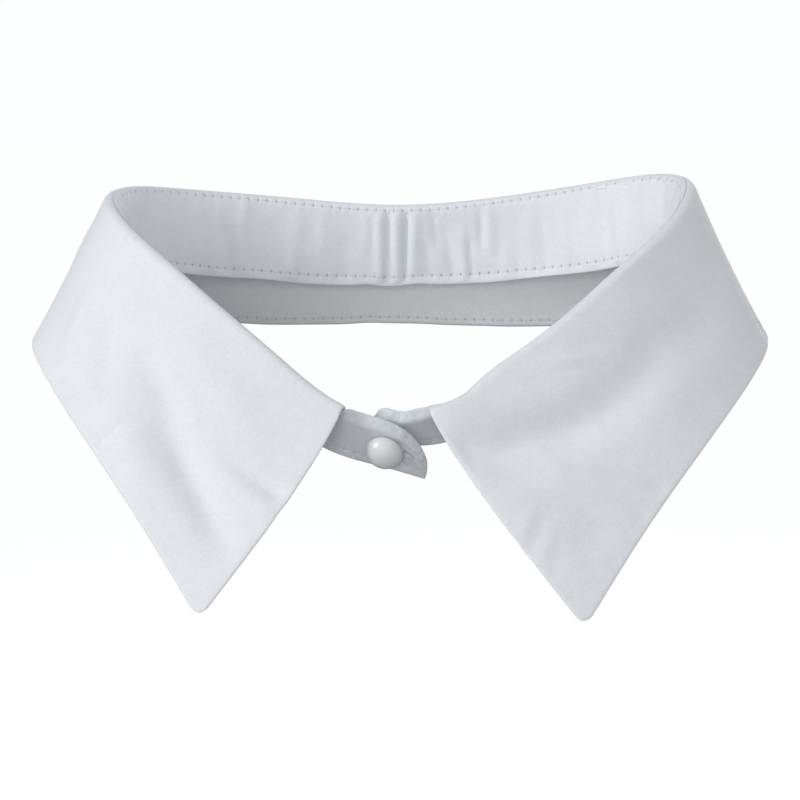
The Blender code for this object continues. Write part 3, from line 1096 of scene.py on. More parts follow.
@dataclass(frozen=True)
class CottonFinish(Finish):
    """White cotton poplin."""

    colour: Colour
    weave: bpy.types.NodeTree
    rumple: bpy.types.NodeTree
    pull: bpy.types.NodeTree
    thread_pitch: float = 0.3
    roughness: float = 0.77
    darkest: float = 0.88
    lightest: float = 1.08
    mottled: float = 0.75
    # Painted shade in the needle holes: the holes' mask mixes the tone towards this colour.
    hole_shade_colour: Colour = (0.42, 0.45, 0.52)
    hole_shade_strength: float = 0.8
    weave_depth: float = 0.00003
    rumple_depth: float = 0.0007
    rumple_strength: float = 0.5
    stitch_depth: float = 0.0002

    def build(self) -> bpy.types.Material:
        """Build the material.

        Returns:
            The material.
        """
        material, wires, shader = self.start(Specular_IOR_Level=0.25, Sheen_Weight=0.18,
                                             Sheen_Roughness=0.5)
        weave = wires.node('ShaderNodeGroup', node_tree=self.weave)
        wires.feed(wires.node('ShaderNodeUVMap', uv_map="cloth").outputs[0],
                   weave.inputs["Cloth Map"])
        wires.feed(self.thread_pitch, weave.inputs["Pitch"])
        rumple = wires.node('ShaderNodeGroup', node_tree=self.rumple)
        wires.feed(wires.node('ShaderNodeTexCoord').outputs["Object"], rumple.inputs["Place"])
        pull = wires.node('ShaderNodeGroup', node_tree=self.pull)
        wires.feed(wires.node('ShaderNodeUVMap', uv_map="seam").outputs[0],
                   pull.inputs["Seam Map"])
        # The tone follows the weave's thick threads and the mottle, which is partly painted shade.
        shade = wires.math('MULTIPLY', weave.outputs["Shade"], 1 - self.mottled)
        share = wires.math('MULTIPLY_ADD', rumple.outputs["Mottle"], self.mottled, shade)
        tone = wires.mix(share, tuple(value * self.darkest for value in self.colour),
                         tuple(min(value * self.lightest, 1.0) for value in self.colour))
        # Painted shade: darken the needle holes towards the hole shade colour.
        hole = wires.math('MULTIPLY', pull.outputs["Hole"], self.hole_shade_strength)
        wires.feed(wires.mix(hole, tone, self.hole_shade_colour), shader.inputs["Base Color"])
        wires.feed(wires.math('MULTIPLY_ADD', weave.outputs["Shade"], 0.1, self.roughness),
                   shader.inputs["Roughness"])
        fine = wires.bump(weave.outputs["Height"], self.weave_depth)
        soft = wires.bump(rumple.outputs["Height"], self.rumple_depth, self.rumple_strength, fine)
        drawn = wires.bump(pull.outputs["Height"], self.stitch_depth, over=soft)
        wires.feed(drawn, shader.inputs["Normal"])
        return material


@dataclass(frozen=True)
class ThreadFinish(Finish):
    """White sewing thread."""

    name: str = "sewing thread"
    colour: Colour = (0.86, 0.88, 0.92)
    darkest: float = 0.9
    twist_scale: float = 2600.0
    twist_depth: float = 0.00004

    def build(self) -> bpy.types.Material:
        """Build the material.

        Returns:
            The material.
        """
        material, wires, shader = self.start(Sheen_Weight=0.2, Specular_IOR_Level=0.4)
        place = wires.node('ShaderNodeTexCoord').outputs["Object"]
        twist = wires.noise(place, self.twist_scale, 1.0)
        tone = wires.mix(twist, tuple(value * self.darkest for value in self.colour), self.colour)
        wires.feed(tone, shader.inputs["Base Color"])
        wires.feed(wires.math('MULTIPLY_ADD', twist, 0.2, 0.5), shader.inputs["Roughness"])
        wires.feed(wires.bump(twist, self.twist_depth), shader.inputs["Normal"])
        return material


@dataclass(frozen=True)
class PearlFinish(Finish):
    """White pearl with faint swirls."""

    name: str = "white pearl"
    light: Colour = (0.90, 0.90, 0.91)
    dark: Colour = (0.78, 0.79, 0.83)
    swirl_scale: float = 260.0
    swirl_flatness: float = 1.7

    def build(self) -> bpy.types.Material:
        """Build the material.

        Returns:
            The material.
        """
        material, wires, shader = self.start(Coat_Weight=0.7, Coat_Roughness=0.12,
                                             Specular_IOR_Level=0.6)
        place = wires.node('ShaderNodeTexCoord').outputs["Object"]
        flattened = wires.stretch(place, 1.0, 1.0, self.swirl_flatness)
        drift = wires.noise(flattened, self.swirl_scale, 2.5)
        wires.feed(wires.mix(drift, self.dark, self.light), shader.inputs["Base Color"])
        wires.feed(wires.math('MULTIPLY_ADD', drift, 0.1, 0.2), shader.inputs["Roughness"])
        return material


# ------------------------------------------------------------------- pieces


@dataclass
class CollarLeaf:
    """The upper and under collar: two plies that roll over the stand and hang to the points."""

    form: NeckForm
    cloth: ClothWall = ClothWall()
    column_pitch: float = 1.0
    roll_steps: int = 12
    leaf_steps: int = 40
    tip_length: float = 3.3
    tip_depth: float = 3.3
    setback: float = 0.4
    edge_hold: float = 0.72
    edge_seam: float = 2.4
    lap_ease: float = 0.6
    tuck_depth: float = 0.29
    stitch_inset: float = 2.0
    stitch_from_front: float = 14.0
    near_edge: tuple[float, ...] = (2.7, 2.3, 1.9, 1.5, 1.15, 0.8, 0.5, 0.28, 0.1, 0.0)
    tip_from: float = 3.2
    tip_to: float = 8.0
    tip_pitch: float = 0.6
    trace_pitch: float = 2.0
    front_points: int = 60
    crease_ease: float = 0.1
    wave_from: float = 0.6
    edge_path: np.ndarray = field(init=False)
    stitch_path: np.ndarray = field(init=False)

    def __post_init__(self) -> None:
        """Trace the cut edge and the stitching."""
        self.edge_path = self.trace_edge(0.0, self.form.leaf_start, self.form.leaf_end, True)
        self.stitch_path = self.trace_edge(self.stitch_inset, *self.stitched, False)

    @property
    def stitched(self) -> tuple[float, float]:
        """First and last station of the stitching."""
        return (self.form.leaf_start + self.stitch_from_front,
                self.form.leaf_end - self.stitch_from_front)

    def end_share(self, stations: np.ndarray, inset: float = 0.0) -> np.ndarray:
        """Share at which the blunt points end the leaf, or a line inside its outline.

        Args:
            stations: Stations along the leaf.
            inset: How far inside the outline.

        Returns:
            The shares.
        """
        length, depth = self.tip_length - inset, self.tip_depth - inset
        from_right = rounded(stations - self.form.leaf_start - inset, length, depth)
        from_left = rounded(self.form.leaf_end - inset - stations, length, depth)
        drop, _ = edge_wave(LEAF_EDGE_WAVES, stations)
        return 1.0 - (from_right + from_left + inset - drop) / self.form.fall(stations)

    def trace_edge(self, inset: float, start: float, end: float, fronts: bool) -> np.ndarray:
        """Trace a line along the lower edge.

        Args:
            inset: How far in from the edge it runs.
            start: Its first station.
            end: Its last station.
            fronts: Whether it goes up the two front edges as well.

        Returns:
            The line's points.
        """
        corner = self.tip_length * (1 - np.sin(np.radians(np.arange(90, 0, -10))))
        middle = np.arange(start + self.tip_length, end - self.tip_length, self.trace_pitch)
        stations = np.concatenate((start + corner, middle, end - corner[::-1]))
        shares = self.end_share(stations) - inset / self.form.fall(stations)
        line = self.form.leaf(stations, shares)
        if not fronts:
            return line
        down = np.linspace(-1.0, shares[0], self.front_points)[:-1]
        first = self.form.leaf(np.full(len(down), start), down)
        last = self.form.leaf(np.full(len(down), end), down)
        return np.concatenate((first, line, last[::-1]))

    def relief(self, points: np.ndarray) -> np.ndarray:
        """Add up the creases.

        Args:
            points: Points of the leaf's middle surface.

        Returns:
            How far the creases lift the leaf at each point.
        """
        lift = np.zeros(len(points))
        for crease in LEAF_CREASES:
            stations = np.linspace(crease.from_station, crease.to_station, CREASE_POINTS)
            shares = np.linspace(crease.from_share, crease.to_share, CREASE_POINTS)
            found = nearest_on_path(points, self.form.leaf(stations, shares))
            reach = found.along / max(float(found.along.max()), 1e-6)
            if crease.ends is Ends.BOTH_FADE:
                strength = np.sin(math.pi * np.clip(reach, 0, 1))
            else:
                strength = smooth(reach)
            lift += crease.depth * strength * bell(found.away, crease.width)
        return lift

    def ply(self, side: Side, stations: np.ndarray, shares: np.ndarray) -> np.ndarray:
        """Points of one ply's middle.

        Args:
            side: NECK for the upper collar, whose roll meets the neck side of the stand,
                and OUTSIDE for the under collar.
            stations: Stations along the collar.
            shares: Shares across it, from -1 to 1.

        Returns:
            The points.
        """
        facing = face(self.form.leaf, stations, shares, LEAF_STEP)
        edge = nearest_on_path(facing.points, self.edge_path)
        _, kick = edge_wave(LEAF_EDGE_WAVES, stations)
        held = self.edge_hold * bell(edge.away, self.edge_seam)
        below_roll = smooth((shares + self.crease_ease) / (2 * self.crease_ease))
        lift = self.relief(facing.points) * below_roll * (1 - held)
        lift += kick * smooth((shares - self.wave_from) / (1 - self.wave_from))
        to_edge = np.maximum(edge.away - self.inset(side), 0.0)
        offset = side.value * (self.cloth.spread(to_edge) - self.tuck(stations, shares)) - lift
        return facing.points + offset[:, None] * facing.outward

    def inset(self, side: Side) -> float:
        """How far a ply's cut edge stays inside the leaf's outline."""
        return self.setback if side is Side.OUTSIDE else 0.0

    def tuck(self, stations: np.ndarray, shares: np.ndarray) -> np.ndarray:
        """Find how far a ply goes in under the stand ply that laps over it.

        Args:
            stations: Stations along the collar.
            shares: Shares across it, from -1 to 1.

        Returns:
            The depth at each point.
        """
        over = (shares + 1) * self.form.roll_length(stations)
        under = self.form.lap(stations) + self.lap_ease - over
        return self.tuck_depth * smooth(under / self.lap_ease)

    def columns(self, inset: float) -> np.ndarray:
        """Place the grid's columns, closer together at the front edges.

        Args:
            inset: How far inside the leaf's outline the ply ends.

        Returns:
            Stations in rising order.
        """
        start, end = self.form.leaf_start + inset, self.form.leaf_end - inset
        near = np.array(self.near_edge)
        tip = np.arange(self.tip_from, self.tip_to, self.tip_pitch)
        count = int((end - start - 2 * self.tip_to) / self.column_pitch)
        middle = np.linspace(start + self.tip_to, end - self.tip_to, count)
        return np.sort(np.concatenate((start + near, start + tip, middle, end - tip, end - near)))

    def grid(self, inset: float) -> tuple[np.ndarray, np.ndarray]:
        """Lay out a ply's grid.

        Args:
            inset: How far inside the leaf's outline the ply ends.

        Returns:
            Stations and shares, columns by rows.
        """
        stations = self.columns(inset)
        fall = self.form.fall(stations)
        end = self.end_share(stations, inset)
        near = np.array(self.near_edge)
        roll = np.tile(np.linspace(-1.0, 0.0, self.roll_steps + 1), (len(stations), 1))
        edge = end[:, None] - near[None] / fall[:, None]
        down = np.linspace(0.0, 1.0, self.leaf_steps + 1)[1:-1]
        shares = np.concatenate((roll, down[None] * edge[:, :1], edge), axis=1)
        return np.tile(stations[:, None], (1, shares.shape[1])), shares

    def build_ply(self, name: str, side: Side, node: str, slot: str,
                  material: bpy.types.Material) -> bpy.types.Object:
        """Build one ply.

        Args:
            name: The piece's name.
            side: Which ply it is.
            node: The frame's node that it stands for.
            slot: Not used.
            material: Its finish.

        Returns:
            The piece.
        """
        stations, shares = self.grid(self.inset(side))
        points = self.ply(side, stations.ravel(), shares.ravel())
        if side is Side.OUTSIDE:
            middle = self.form.leaf(stations.ravel(), shares.ravel())
            found = nearest_on_path(middle, self.stitch_path)
            seam = np.stack((found.along, found.away), axis=1)
        else:
            seam = np.tile(AWAY_FROM_STITCHES, (len(points), 1))
        piece = lay_cloth(name, points.reshape(*stations.shape, 3),
                          seam.reshape(*stations.shape, 2), self.cloth.wall, material)
        place_in_frame(piece, node)
        log.info("%s: %d columns by %d rows", name, *stations.shape)
        return piece


@dataclass
class NeckStand:
    """The inner and outer stand: two plies round the neck that lap at the throat."""

    form: NeckForm
    cloth: ClothWall = ClothWall()
    column_pitch: float = 0.8
    buttonhole_end_length: float = 13.0
    buttonhole_end_depth: float = 12.5
    button_end_length: float = 5.0
    button_end_depth: float = 5.0
    gather: float = 1.8
    strip_width: float = 2.5
    strip_turn: float = 60.0
    strip_crease: float = 0.35
    strip_short: float = 1.1
    strip_short_over: float = 9.0
    strip_waves: tuple[tuple[float, float, float], ...] = ((0.14, 1.15, 0.0), (0.05, 2.2, 1.0))
    strip_climb: float = 1.5
    strip_climb_over: float = 6.0
    right_strip_from: float = 0.5
    right_strip_over: float = 4.5
    left_strip_from: float = 3.2
    left_strip_over: float = 3.6
    slit_half: float = 0.1
    slit_gape: float = 0.45
    gape_length: float = 3.0
    gape_middle: float = -0.6
    slit_ahead: float = 6.4
    slit_behind: float = 1.3
    slit_climb: float = 0.5
    slit_most: float = 0.58
    slit_dent: float = 0.10
    slit_dent_at: float = 1.2
    slit_dent_width: float = 0.6
    stem_x: float = -2.1
    foot_stitch: float = 2.4
    top_stitch: float = 0.75
    end_stitch: float = 1.1
    hole_fade: float = 0.3
    seam_dent: float = 0.12
    seam_dent_width: float = 0.9
    flat_edge: float = 0.3
    flat_edge_over: float = 1.5
    open_under_leaf: float = 4.0
    drop_reach: float = 3.0
    kick_reach: float = 3.5
    end_reach: float = 8.0
    pucker_fade: float = 0.12
    trace_pitch: float = 2.0
    near_edge: tuple[float, ...] = (0.0, 0.12, 0.3, 0.55, 0.85, 1.2, 1.6, 2.0, 2.4, 2.9)
    full_rows_above: float = 12.0
    end_columns: float = 3.4
    slit_columns: int = 15
    past_slit: float = 0.5
    lower_rows: int = 7
    upper_rows: int = 8
    stem_station: float = field(init=False)
    edge_path: np.ndarray = field(init=False)
    foot_path: np.ndarray = field(init=False)
    slit_path: np.ndarray = field(init=False)
    top_stitch_path: np.ndarray = field(init=False)
    foot_stitch_path: np.ndarray = field(init=False)

    def __post_init__(self) -> None:
        """Find the button and trace the edges and the stitching on the flat cloth."""
        trial = np.linspace(self.first, self.form.leaf_start, 401)
        middles = self.form.band(trial, self.slit_climb * self.form.height(trial))
        self.stem_station = float(trial[np.argmin(np.abs(middles[:, 0] - self.stem_x))])
        self.edge_path = self.trace_top(0.0, 0.0)
        self.top_stitch_path = self.trace_top(self.top_stitch, self.end_stitch)
        foot = np.arange(self.first + self.end_stitch, self.last - self.end_stitch,
                         self.trace_pitch)
        self.foot_path = np.stack((np.array((self.first, self.last)), np.zeros(2)), axis=1)
        self.foot_stitch_path = np.stack((foot, np.full_like(foot, self.foot_stitch)), axis=1)
        slit = np.array((self.stem_station - self.slit_ahead, self.stem_station + self.slit_behind))
        self.slit_path = np.stack((slit, self.slit_middle(slit)), axis=1)

    @property
    def first(self) -> float:
        """Station of the buttonhole end."""
        return float(self.form.stations[0])

    @property
    def last(self) -> float:
        """Station of the button end."""
        return float(self.form.stations[-1])

    def strip_share(self, stations: np.ndarray) -> np.ndarray:
        """Find where the top edge turns back as a strip.

        Args:
            stations: Stations along the collar.

        Returns:
            One on the two ends past the leaf, easing to none under it.
        """
        past_right = self.form.leaf_start + self.right_strip_from - stations
        past_left = stations - self.form.leaf_end + self.left_strip_from
        return np.maximum(smooth(past_right / self.right_strip_over),
                          smooth(past_left / self.left_strip_over))

    def strip_across(self, stations: np.ndarray) -> np.ndarray:
        """Find the width of the turned strip, uneven where the stitches gather it.

        Args:
            stations: Stations along the collar.

        Returns:
            The widths.
        """
        uneven = sum(size * np.sin((stations + 200) * pace + start)
                     for size, pace, start in self.strip_waves)
        to_end = self.first + self.strip_short_over - stations
        narrowed = self.strip_short * smooth(to_end / self.strip_short_over)
        return self.strip_width + uneven - narrowed

    def top(self, stations: np.ndarray) -> np.ndarray:
        """Find the height of the ply's top edge above its foot.

        Args:
            stations: Stations along the collar.

        Returns:
            The heights.
        """
        from_buttonhole = rounded(stations - self.first, self.buttonhole_end_length,
                                  self.buttonhole_end_depth)
        from_button = rounded(self.last - stations, self.button_end_length,
                              self.button_end_depth)
        full = self.form.height(stations) + self.form.lap(stations)
        return full - from_buttonhole - from_button

    def slit_middle(self, stations: np.ndarray) -> np.ndarray:
        """Height of the buttonhole above the foot."""
        return np.minimum(self.slit_climb * self.form.height(stations),
                          self.slit_most * self.top(stations))

    def trace_top(self, top_inset: float, end_inset: float) -> np.ndarray:
        """Trace a line along the top edge and down both ends, on the flat cloth.

        Args:
            top_inset: How far below the top edge it runs under the leaf, as a share of
                the lap.
            end_inset: How far in it runs round the two ends.

        Returns:
            Stations and heights, from the foot of the buttonhole end to that of the button
            end.
        """
        turn = np.radians(np.arange(90, -1, -7.5))
        length, depth = self.buttonhole_end_length, self.buttonhole_end_depth
        right = np.full(len(turn), self.first + length) - (length - end_inset) * np.sin(turn)
        right_climb = self.form.height(right) - depth + (depth - end_inset) * np.cos(turn)
        length, depth = self.button_end_length, self.button_end_depth
        left = np.full(len(turn), self.last - length) + (length - end_inset) * np.sin(turn)
        left_climb = self.form.height(left) - depth + (depth - end_inset) * np.cos(turn)
        middle = np.arange(right[-1] + 1.0, left[-1], 1.0)
        covered = self.form.under_leaf(middle)
        inset = top_inset * self.form.lap(middle) + end_inset * (1 - covered)
        stations = np.concatenate((right[:1], right, middle, left[::-1], left[:1]))
        climbs = np.concatenate(((end_inset,), right_climb, self.top(middle) - inset,
                                 left_climb[::-1], (end_inset,)))
        return np.stack((stations, climbs), axis=1)

    def relief(self, side: Side, stations: np.ndarray, climbs: np.ndarray) -> np.ndarray:
        """How far the puckers lift a ply from its neighbour.

        Args:
            side: Which ply.
            stations: Stations along it.
            climbs: Heights above its foot.

        Returns:
            The lift, away from the other ply.
        """
        share = climbs / self.form.height(stations)
        fade = self.pucker_fade
        lift = np.zeros_like(stations)
        for pucker in (INNER_PUCKERS if side is Side.NECK else OUTER_PUCKERS):
            middle = pucker.station + pucker.slant * (share - 0.5)
            window = (smooth((share - pucker.low + fade) / (2 * fade))
                      * smooth((pucker.high + fade - share) / (2 * fade)))
            lift += pucker.depth * window * bell(stations - middle, pucker.width)
        return lift

    def ply(self, side: Side, stations: np.ndarray, climbs: np.ndarray) -> np.ndarray:
        """Points of one ply's middle.

        Args:
            side: Which ply.
            stations: Stations along the collar.
            climbs: Heights above the foot.

        Returns:
            The points.
        """
        drop, kick = edge_wave(STAND_FOOT_WAVES, stations)
        strip = self.strip_share(stations)
        lowered = climbs - drop * (1 - strip) * np.exp(-climbs / self.drop_reach)
        facing = face(self.form.band, stations, lowered, BAND_STEP)
        flat = np.stack((stations, climbs), axis=1)
        top = nearest_on_path(flat, self.edge_path)
        foot = nearest_on_path(flat, self.foot_path)
        slit = nearest_on_path(flat, self.slit_path)
        seams = np.minimum(nearest_on_path(flat, self.top_stitch_path).away,
                           nearest_on_path(flat, self.foot_stitch_path).away)
        open_top = top.away + self.open_under_leaf * self.form.under_leaf(stations)
        to_edge = np.minimum(np.minimum(open_top, foot.away), slit.away - self.slit_half)

        lift = self.gather * self.relief(side, stations, climbs)
        lift *= smooth((to_edge - self.flat_edge) / self.flat_edge_over)
        lift -= self.seam_dent * bell(seams, self.seam_dent_width)
        lift -= self.slit_dent * bell(slit.away - self.slit_dent_at, self.slit_dent_width)
        spread = side.value * (self.cloth.spread(np.maximum(to_edge, 0)) + lift)
        ends = np.minimum(stations - self.first, self.last - stations)
        kick *= (1 - strip) * np.exp(-climbs / self.kick_reach) * smooth(ends / self.end_reach)
        spread -= kick

        into = self.strip_across(stations) - top.away
        strength = strip * smooth((climbs - self.strip_climb) / self.strip_climb_over)
        bend, inward, backward = self.turn_strip(into, strength)
        past = square_to_path(self.edge_path, top.along)
        towards = past[:, :1] * facing.ahead + past[:, 1:] * facing.higher
        outward = np.cos(bend)[:, None] * facing.outward + np.sin(bend)[:, None] * towards
        moved = facing.points + inward[:, None] * towards - backward[:, None] * facing.outward
        return moved + spread[:, None] * outward

    def turn_strip(self, into: np.ndarray, strength: np.ndarray) -> tuple[np.ndarray, ...]:
        """Fold the top strip of the two ends back towards the neck.

        Args:
            into: How far past the strip's crease each point lies.
            strength: From 0 for no fold to 1 for the whole fold.

        Returns:
            The turn in radians, the shift towards the edge and the shift towards the neck.
        """
        past = np.maximum(into, 0.0)
        whole = math.radians(self.strip_turn) * strength
        radius = self.strip_crease
        bend = np.minimum(past / radius, whole)
        beyond = past - radius * bend
        along = radius * np.sin(bend) + beyond * np.cos(bend)
        back = radius * (1 - np.cos(bend)) + beyond * np.sin(bend)
        return bend, along - past, back

    def columns(self) -> np.ndarray:
        """Place the grid's columns, closer together at the ends and the slit.

        Returns:
            Stations in rising order.
        """
        near = np.array(self.near_edge)
        slit_start, slit_end = self.slit_path[:, 0]
        slit = np.linspace(slit_start, slit_end, self.slit_columns)
        rest_start, rest_end = slit_end + self.past_slit, self.last - self.end_columns
        rest = np.linspace(rest_start, rest_end, int((rest_end - rest_start) / self.column_pitch))
        return np.sort(np.concatenate((self.first + near, slit, rest, self.last - near)))

    def climbs(self, stations: np.ndarray) -> np.ndarray:
        """Heights of the grid's rows at each station, columns by rows.

        Args:
            stations: The grid's columns.

        Returns:
            The heights. Two rows edge the buttonhole.
        """
        top = self.top(stations)[:, None]
        squeeze = np.minimum(1.0, top / self.full_rows_above)
        near = np.array(self.near_edge)[None]
        foot = near * squeeze
        head = top - near[:, ::-1] * squeeze
        middle = self.slit_middle(stations)[:, None]
        place = (stations - self.stem_station) / self.gape_length - self.gape_middle
        half = (self.slit_half + self.slit_gape * bell(place, 1.0))[:, None] * squeeze
        below = np.linspace(0, 1, self.lower_rows + 1)[None, 1:]
        above = np.linspace(0, 1, self.upper_rows + 1)[None, :-1]
        lower = foot[:, -1:] + (middle - half - foot[:, -1:]) * below
        upper = middle + half + (head[:, :1] - middle - half) * above
        return np.concatenate((foot, lower, upper, head), axis=1)

    def build_ply(self, name: str, side: Side, node: str, slot: str,
                  material: bpy.types.Material) -> bpy.types.Object:
        """Build one ply.

        Args:
            name: The piece's name.
            side: Which ply it is.
            node: The frame's node that it stands for.
            slot: Not used.
            material: Its finish.

        Returns:
            The piece.
        """
        columns = self.columns()
        climbs = self.climbs(columns)
        stations = np.tile(columns[:, None], (1, climbs.shape[1]))
        points = self.ply(side, stations.ravel(), climbs.ravel())
        flat = np.stack((stations.ravel(), climbs.ravel()), axis=1)
        top = nearest_on_path(flat, self.top_stitch_path)
        foot = nearest_on_path(flat, self.foot_stitch_path)
        nearer = top.away < foot.away
        # Outside the leaf the seam map reads farther from the rows, so the painted shade of the
        # needle holes and their drawn-in dents are fainter there.
        shallow = self.hole_fade * (1 - self.form.under_leaf(flat[:, 0]))
        seam = np.stack((np.where(nearer, top.along, foot.along),
                         np.minimum(top.away, foot.away) + shallow), axis=1)
        cut = np.zeros(climbs.shape, bool)
        start, end = self.slit_path[:, 0] - 1e-6
        inside = (columns >= start) & (columns < end)
        cut[inside, len(self.near_edge) + self.lower_rows - 1] = True
        piece = lay_cloth(name, points.reshape(*stations.shape, 3),
                          seam.reshape(*stations.shape, 2), self.cloth.wall, material, cut)
        place_in_frame(piece, node)
        log.info("%s: %d columns by %d rows", name, *stations.shape)
        return piece


@dataclass
class Topstitching:
    """Rows of straight stitches, each a bar of thread on the cloth."""

    material: bpy.types.Material
    pitch: float = 2.6
    bar: ThreadBar = ThreadBar()
    proud: float = 0.14
    slant: float = 5.0
    reach: float = 0.4

    def sew(self, name: str, path: np.ndarray, place: Line, outward: Line) -> bpy.types.Object:
        """Sew one row.

        Args:
            name: The row's name.
            path: The row's line, in whatever measure place takes.
            place: Gives the cloth's points for points of the line.
            outward: Gives the direction out of the cloth for points of the line.

        Returns:
            The row, as one piece.
        """
        along = path_lengths(path)
        marks = np.arange(self.pitch, along[-1] - 0.5 * self.pitch, self.pitch)
        reach = self.reach * self.pitch
        spots = [np.stack([np.interp(marks + shift, along, line) for line in path.T], axis=1)
                 for shift in (-reach, 0.0, reach)]
        before, middle, after = (place(some) for some in spots)
        out = outward(spots[1])
        shape = bmesh.new()
        for start, centre, finish, lift in zip(before, middle, after, out):
            frame_here = lie_along(centre + self.proud * lift, finish - start, lift)
            self.bar.add(shape, frame_here @ Matrix.Rotation(math.radians(self.slant), 4, 'Z'))
        piece = one_mesh(name, shape, self.material)
        place_in_frame(piece)
        log.info("%s: %d stitches", name, len(marks))
        return piece


@dataclass
class Buttonhole:
    """The worked edge of the buttonhole: close bars of thread on both faces."""

    stand: NeckStand
    material: bpy.types.Material
    pitch: float = 0.3
    bar: ThreadBar = ThreadBar(length=1.25, width=0.32, height=0.26, sides=5, rings=4)
    proud: float = 0.14
    look_ahead: float = 0.3
    overrun: float = 0.3
    from_slit: float = 0.45
    tack_bars: int = 5
    tack_from_slit: float = 0.55
    tack_half: float = 0.8

    def sew(self, side: Side, name: str) -> bpy.types.Object:
        """Work one face of the buttonhole.

        Args:
            side: Which face.
            name: The piece's name.

        Returns:
            The piece.
        """
        shape = bmesh.new()
        start, end = self.stand.slit_path[:, 0]
        columns = self.stand.columns()
        climbs = self.stand.climbs(columns)
        low_row = len(self.stand.near_edge) + self.stand.lower_rows - 1
        marks = np.arange(start - self.overrun, end + self.overrun, self.pitch)
        for row, way in ((low_row, -1.0), (low_row + 1, 1.0)):
            edge = np.interp(marks, columns, climbs[:, row])
            self.bars(shape, side, marks, edge + way * self.from_slit, (0.0, way))
        for end_station, way in ((start, -1.0), (end, 1.0)):
            station = end_station + way * self.tack_from_slit
            middle = float(self.stand.slit_middle(np.array((station,)))[0])
            across = middle + np.linspace(-self.tack_half, self.tack_half, self.tack_bars)
            self.bars(shape, side, np.full_like(across, station), across, (way, 0.0))
        piece = one_mesh(name, shape, self.material)
        place_in_frame(piece)
        log.info("%s: buttonhole from %.1f to %.1f", name, start, end)
        return piece

    def bars(self, shape: bmesh.types.BMesh, side: Side, stations: np.ndarray,
             climbs: np.ndarray, run: tuple[float, float]) -> None:
        """Lay bars of thread on the stand.

        Args:
            shape: The bmesh to add to.
            side: Which face of the stand.
            stations: Where each bar's middle lies.
            climbs: How high above the foot.
            run: How much the bars run along the stand, and up it.
        """
        along, up = self.look_ahead * run[0], self.look_ahead * run[1]
        middle = self.stand.ply(side, stations, climbs)
        finish = self.stand.ply(side, stations + along, climbs + up)
        out = side.value * face(self.stand.form.band, stations, climbs, BAND_STEP).outward
        for centre, tip, lift in zip(middle, finish, out):
            self.bar.add(shape, lie_along(centre + self.proud * lift, tip - centre, lift))


@dataclass
class PearlButton:
    """The domed button, its thread stem and the stitches that hold it."""

    stand: NeckStand
    radius: float = 4.5
    back: float = 1.5
    rim: float = 0.8
    crown: float = 3.6
    crown_power: float = 0.92
    flat_back: float = 0.62
    sides: int = 72
    strand_radius: float = 0.2
    strand_circle: float = 0.34
    strands: int = 5
    strand_sides: int = 8
    stem_rings: int = 16
    stem_twist: float = 200.0
    stem_start: float = -3.4
    holding_bar: ThreadBar = ThreadBar(length=2.6, width=0.4, height=0.34)
    holding_gap: float = 0.4

    def place(self) -> Matrix:
        """Find the frame of the button, whose axis is square out from the buttonhole end.

        Returns:
            The frame, in metres.
        """
        station = np.array((self.stand.stem_station,))
        climb = self.stand.slit_middle(station)
        facing = face(self.stand.form.band, station, climb, BAND_STEP)
        turn = Vector(facing.outward[0]).to_track_quat('Z', 'Y').to_matrix().to_4x4()
        return Matrix.Translation(Vector(facing.points[0]) * MM) @ turn

    def build_dome(self, material: bpy.types.Material) -> bpy.types.Object:
        """Build the button by turning its half outline.

        Args:
            material: Its finish.

        Returns:
            The piece.
        """
        outline = [(0.0, self.back), (self.radius * self.flat_back, self.back)]
        middle = self.back + self.rim
        for angle in np.radians(range(-80, 0, 16)):
            out = self.radius - self.rim * (1 - math.cos(angle))
            outline.append((out, middle + self.rim * math.sin(angle)))
        for angle in np.radians(range(0, 91, 6)):
            out = self.radius * math.cos(angle) ** self.crown_power
            outline.append((out, middle + self.crown * math.sin(angle)))
        shape = bmesh.new()
        corners = [shape.verts.new((out * MM, 0.0, height * MM)) for out, height in outline]
        edges = [shape.edges.new(pair) for pair in zip(corners, corners[1:])]
        bmesh.ops.spin(shape, geom=corners + edges, cent=(0, 0, 0), axis=(0, 0, 1),
                       angle=math.tau, steps=self.sides, use_merge=True)
        bmesh.ops.remove_doubles(shape, verts=shape.verts, dist=0.00001)
        bmesh.ops.recalc_face_normals(shape, faces=shape.faces)
        bmesh.ops.transform(shape, matrix=self.place(), verts=shape.verts)
        piece = one_mesh("pearl_button", shape, material)
        place_in_frame(piece, "button")
        log.info("pearl_button: %.1f mm across", 2 * self.radius)
        return piece

    def build_stem(self, material: bpy.types.Material) -> bpy.types.Object:
        """Build the twisted thread stem and the holding stitches at its two ends.

        Args:
            material: The thread's finish.

        Returns:
            The piece.
        """
        shape = bmesh.new()
        rise = (self.back + 0.1 - self.stem_start) * MM
        for strand in range(self.strands):
            turn = math.tau * strand / self.strands
            spot = Vector((math.cos(turn), math.sin(turn), 0.0)) * self.strand_circle * MM
            disc = bmesh.ops.create_circle(
                shape, cap_ends=True, segments=self.strand_sides, radius=self.strand_radius * MM,
                matrix=Matrix.Translation((spot.x, spot.y, self.stem_start * MM)))
            bmesh.ops.spin(shape, geom=disc["verts"][0].link_faces[:], cent=(0, 0, 0),
                           axis=(0, 0, 1), dvec=(0, 0, rise / self.stem_rings),
                           angle=math.radians(self.stem_twist), steps=self.stem_rings,
                           use_duplicate=False)
        for shift in (-self.holding_gap, 0.0, self.holding_gap):
            lay = Matrix.Translation((0, shift * MM, (self.stem_start - 0.1) * MM))
            self.holding_bar.add(shape, lay @ Matrix.Rotation(math.pi, 4, 'X'))
        bmesh.ops.transform(shape, matrix=self.place(), verts=shape.verts)
        bmesh.ops.recalc_face_normals(shape, faces=shape.faces)
        piece = one_mesh("button_stem", shape, material)
        place_in_frame(piece, "button_thread")
        log.info("button_stem: %d strands", self.strands)
        return piece


# ------------------------------------------------------------------- studio


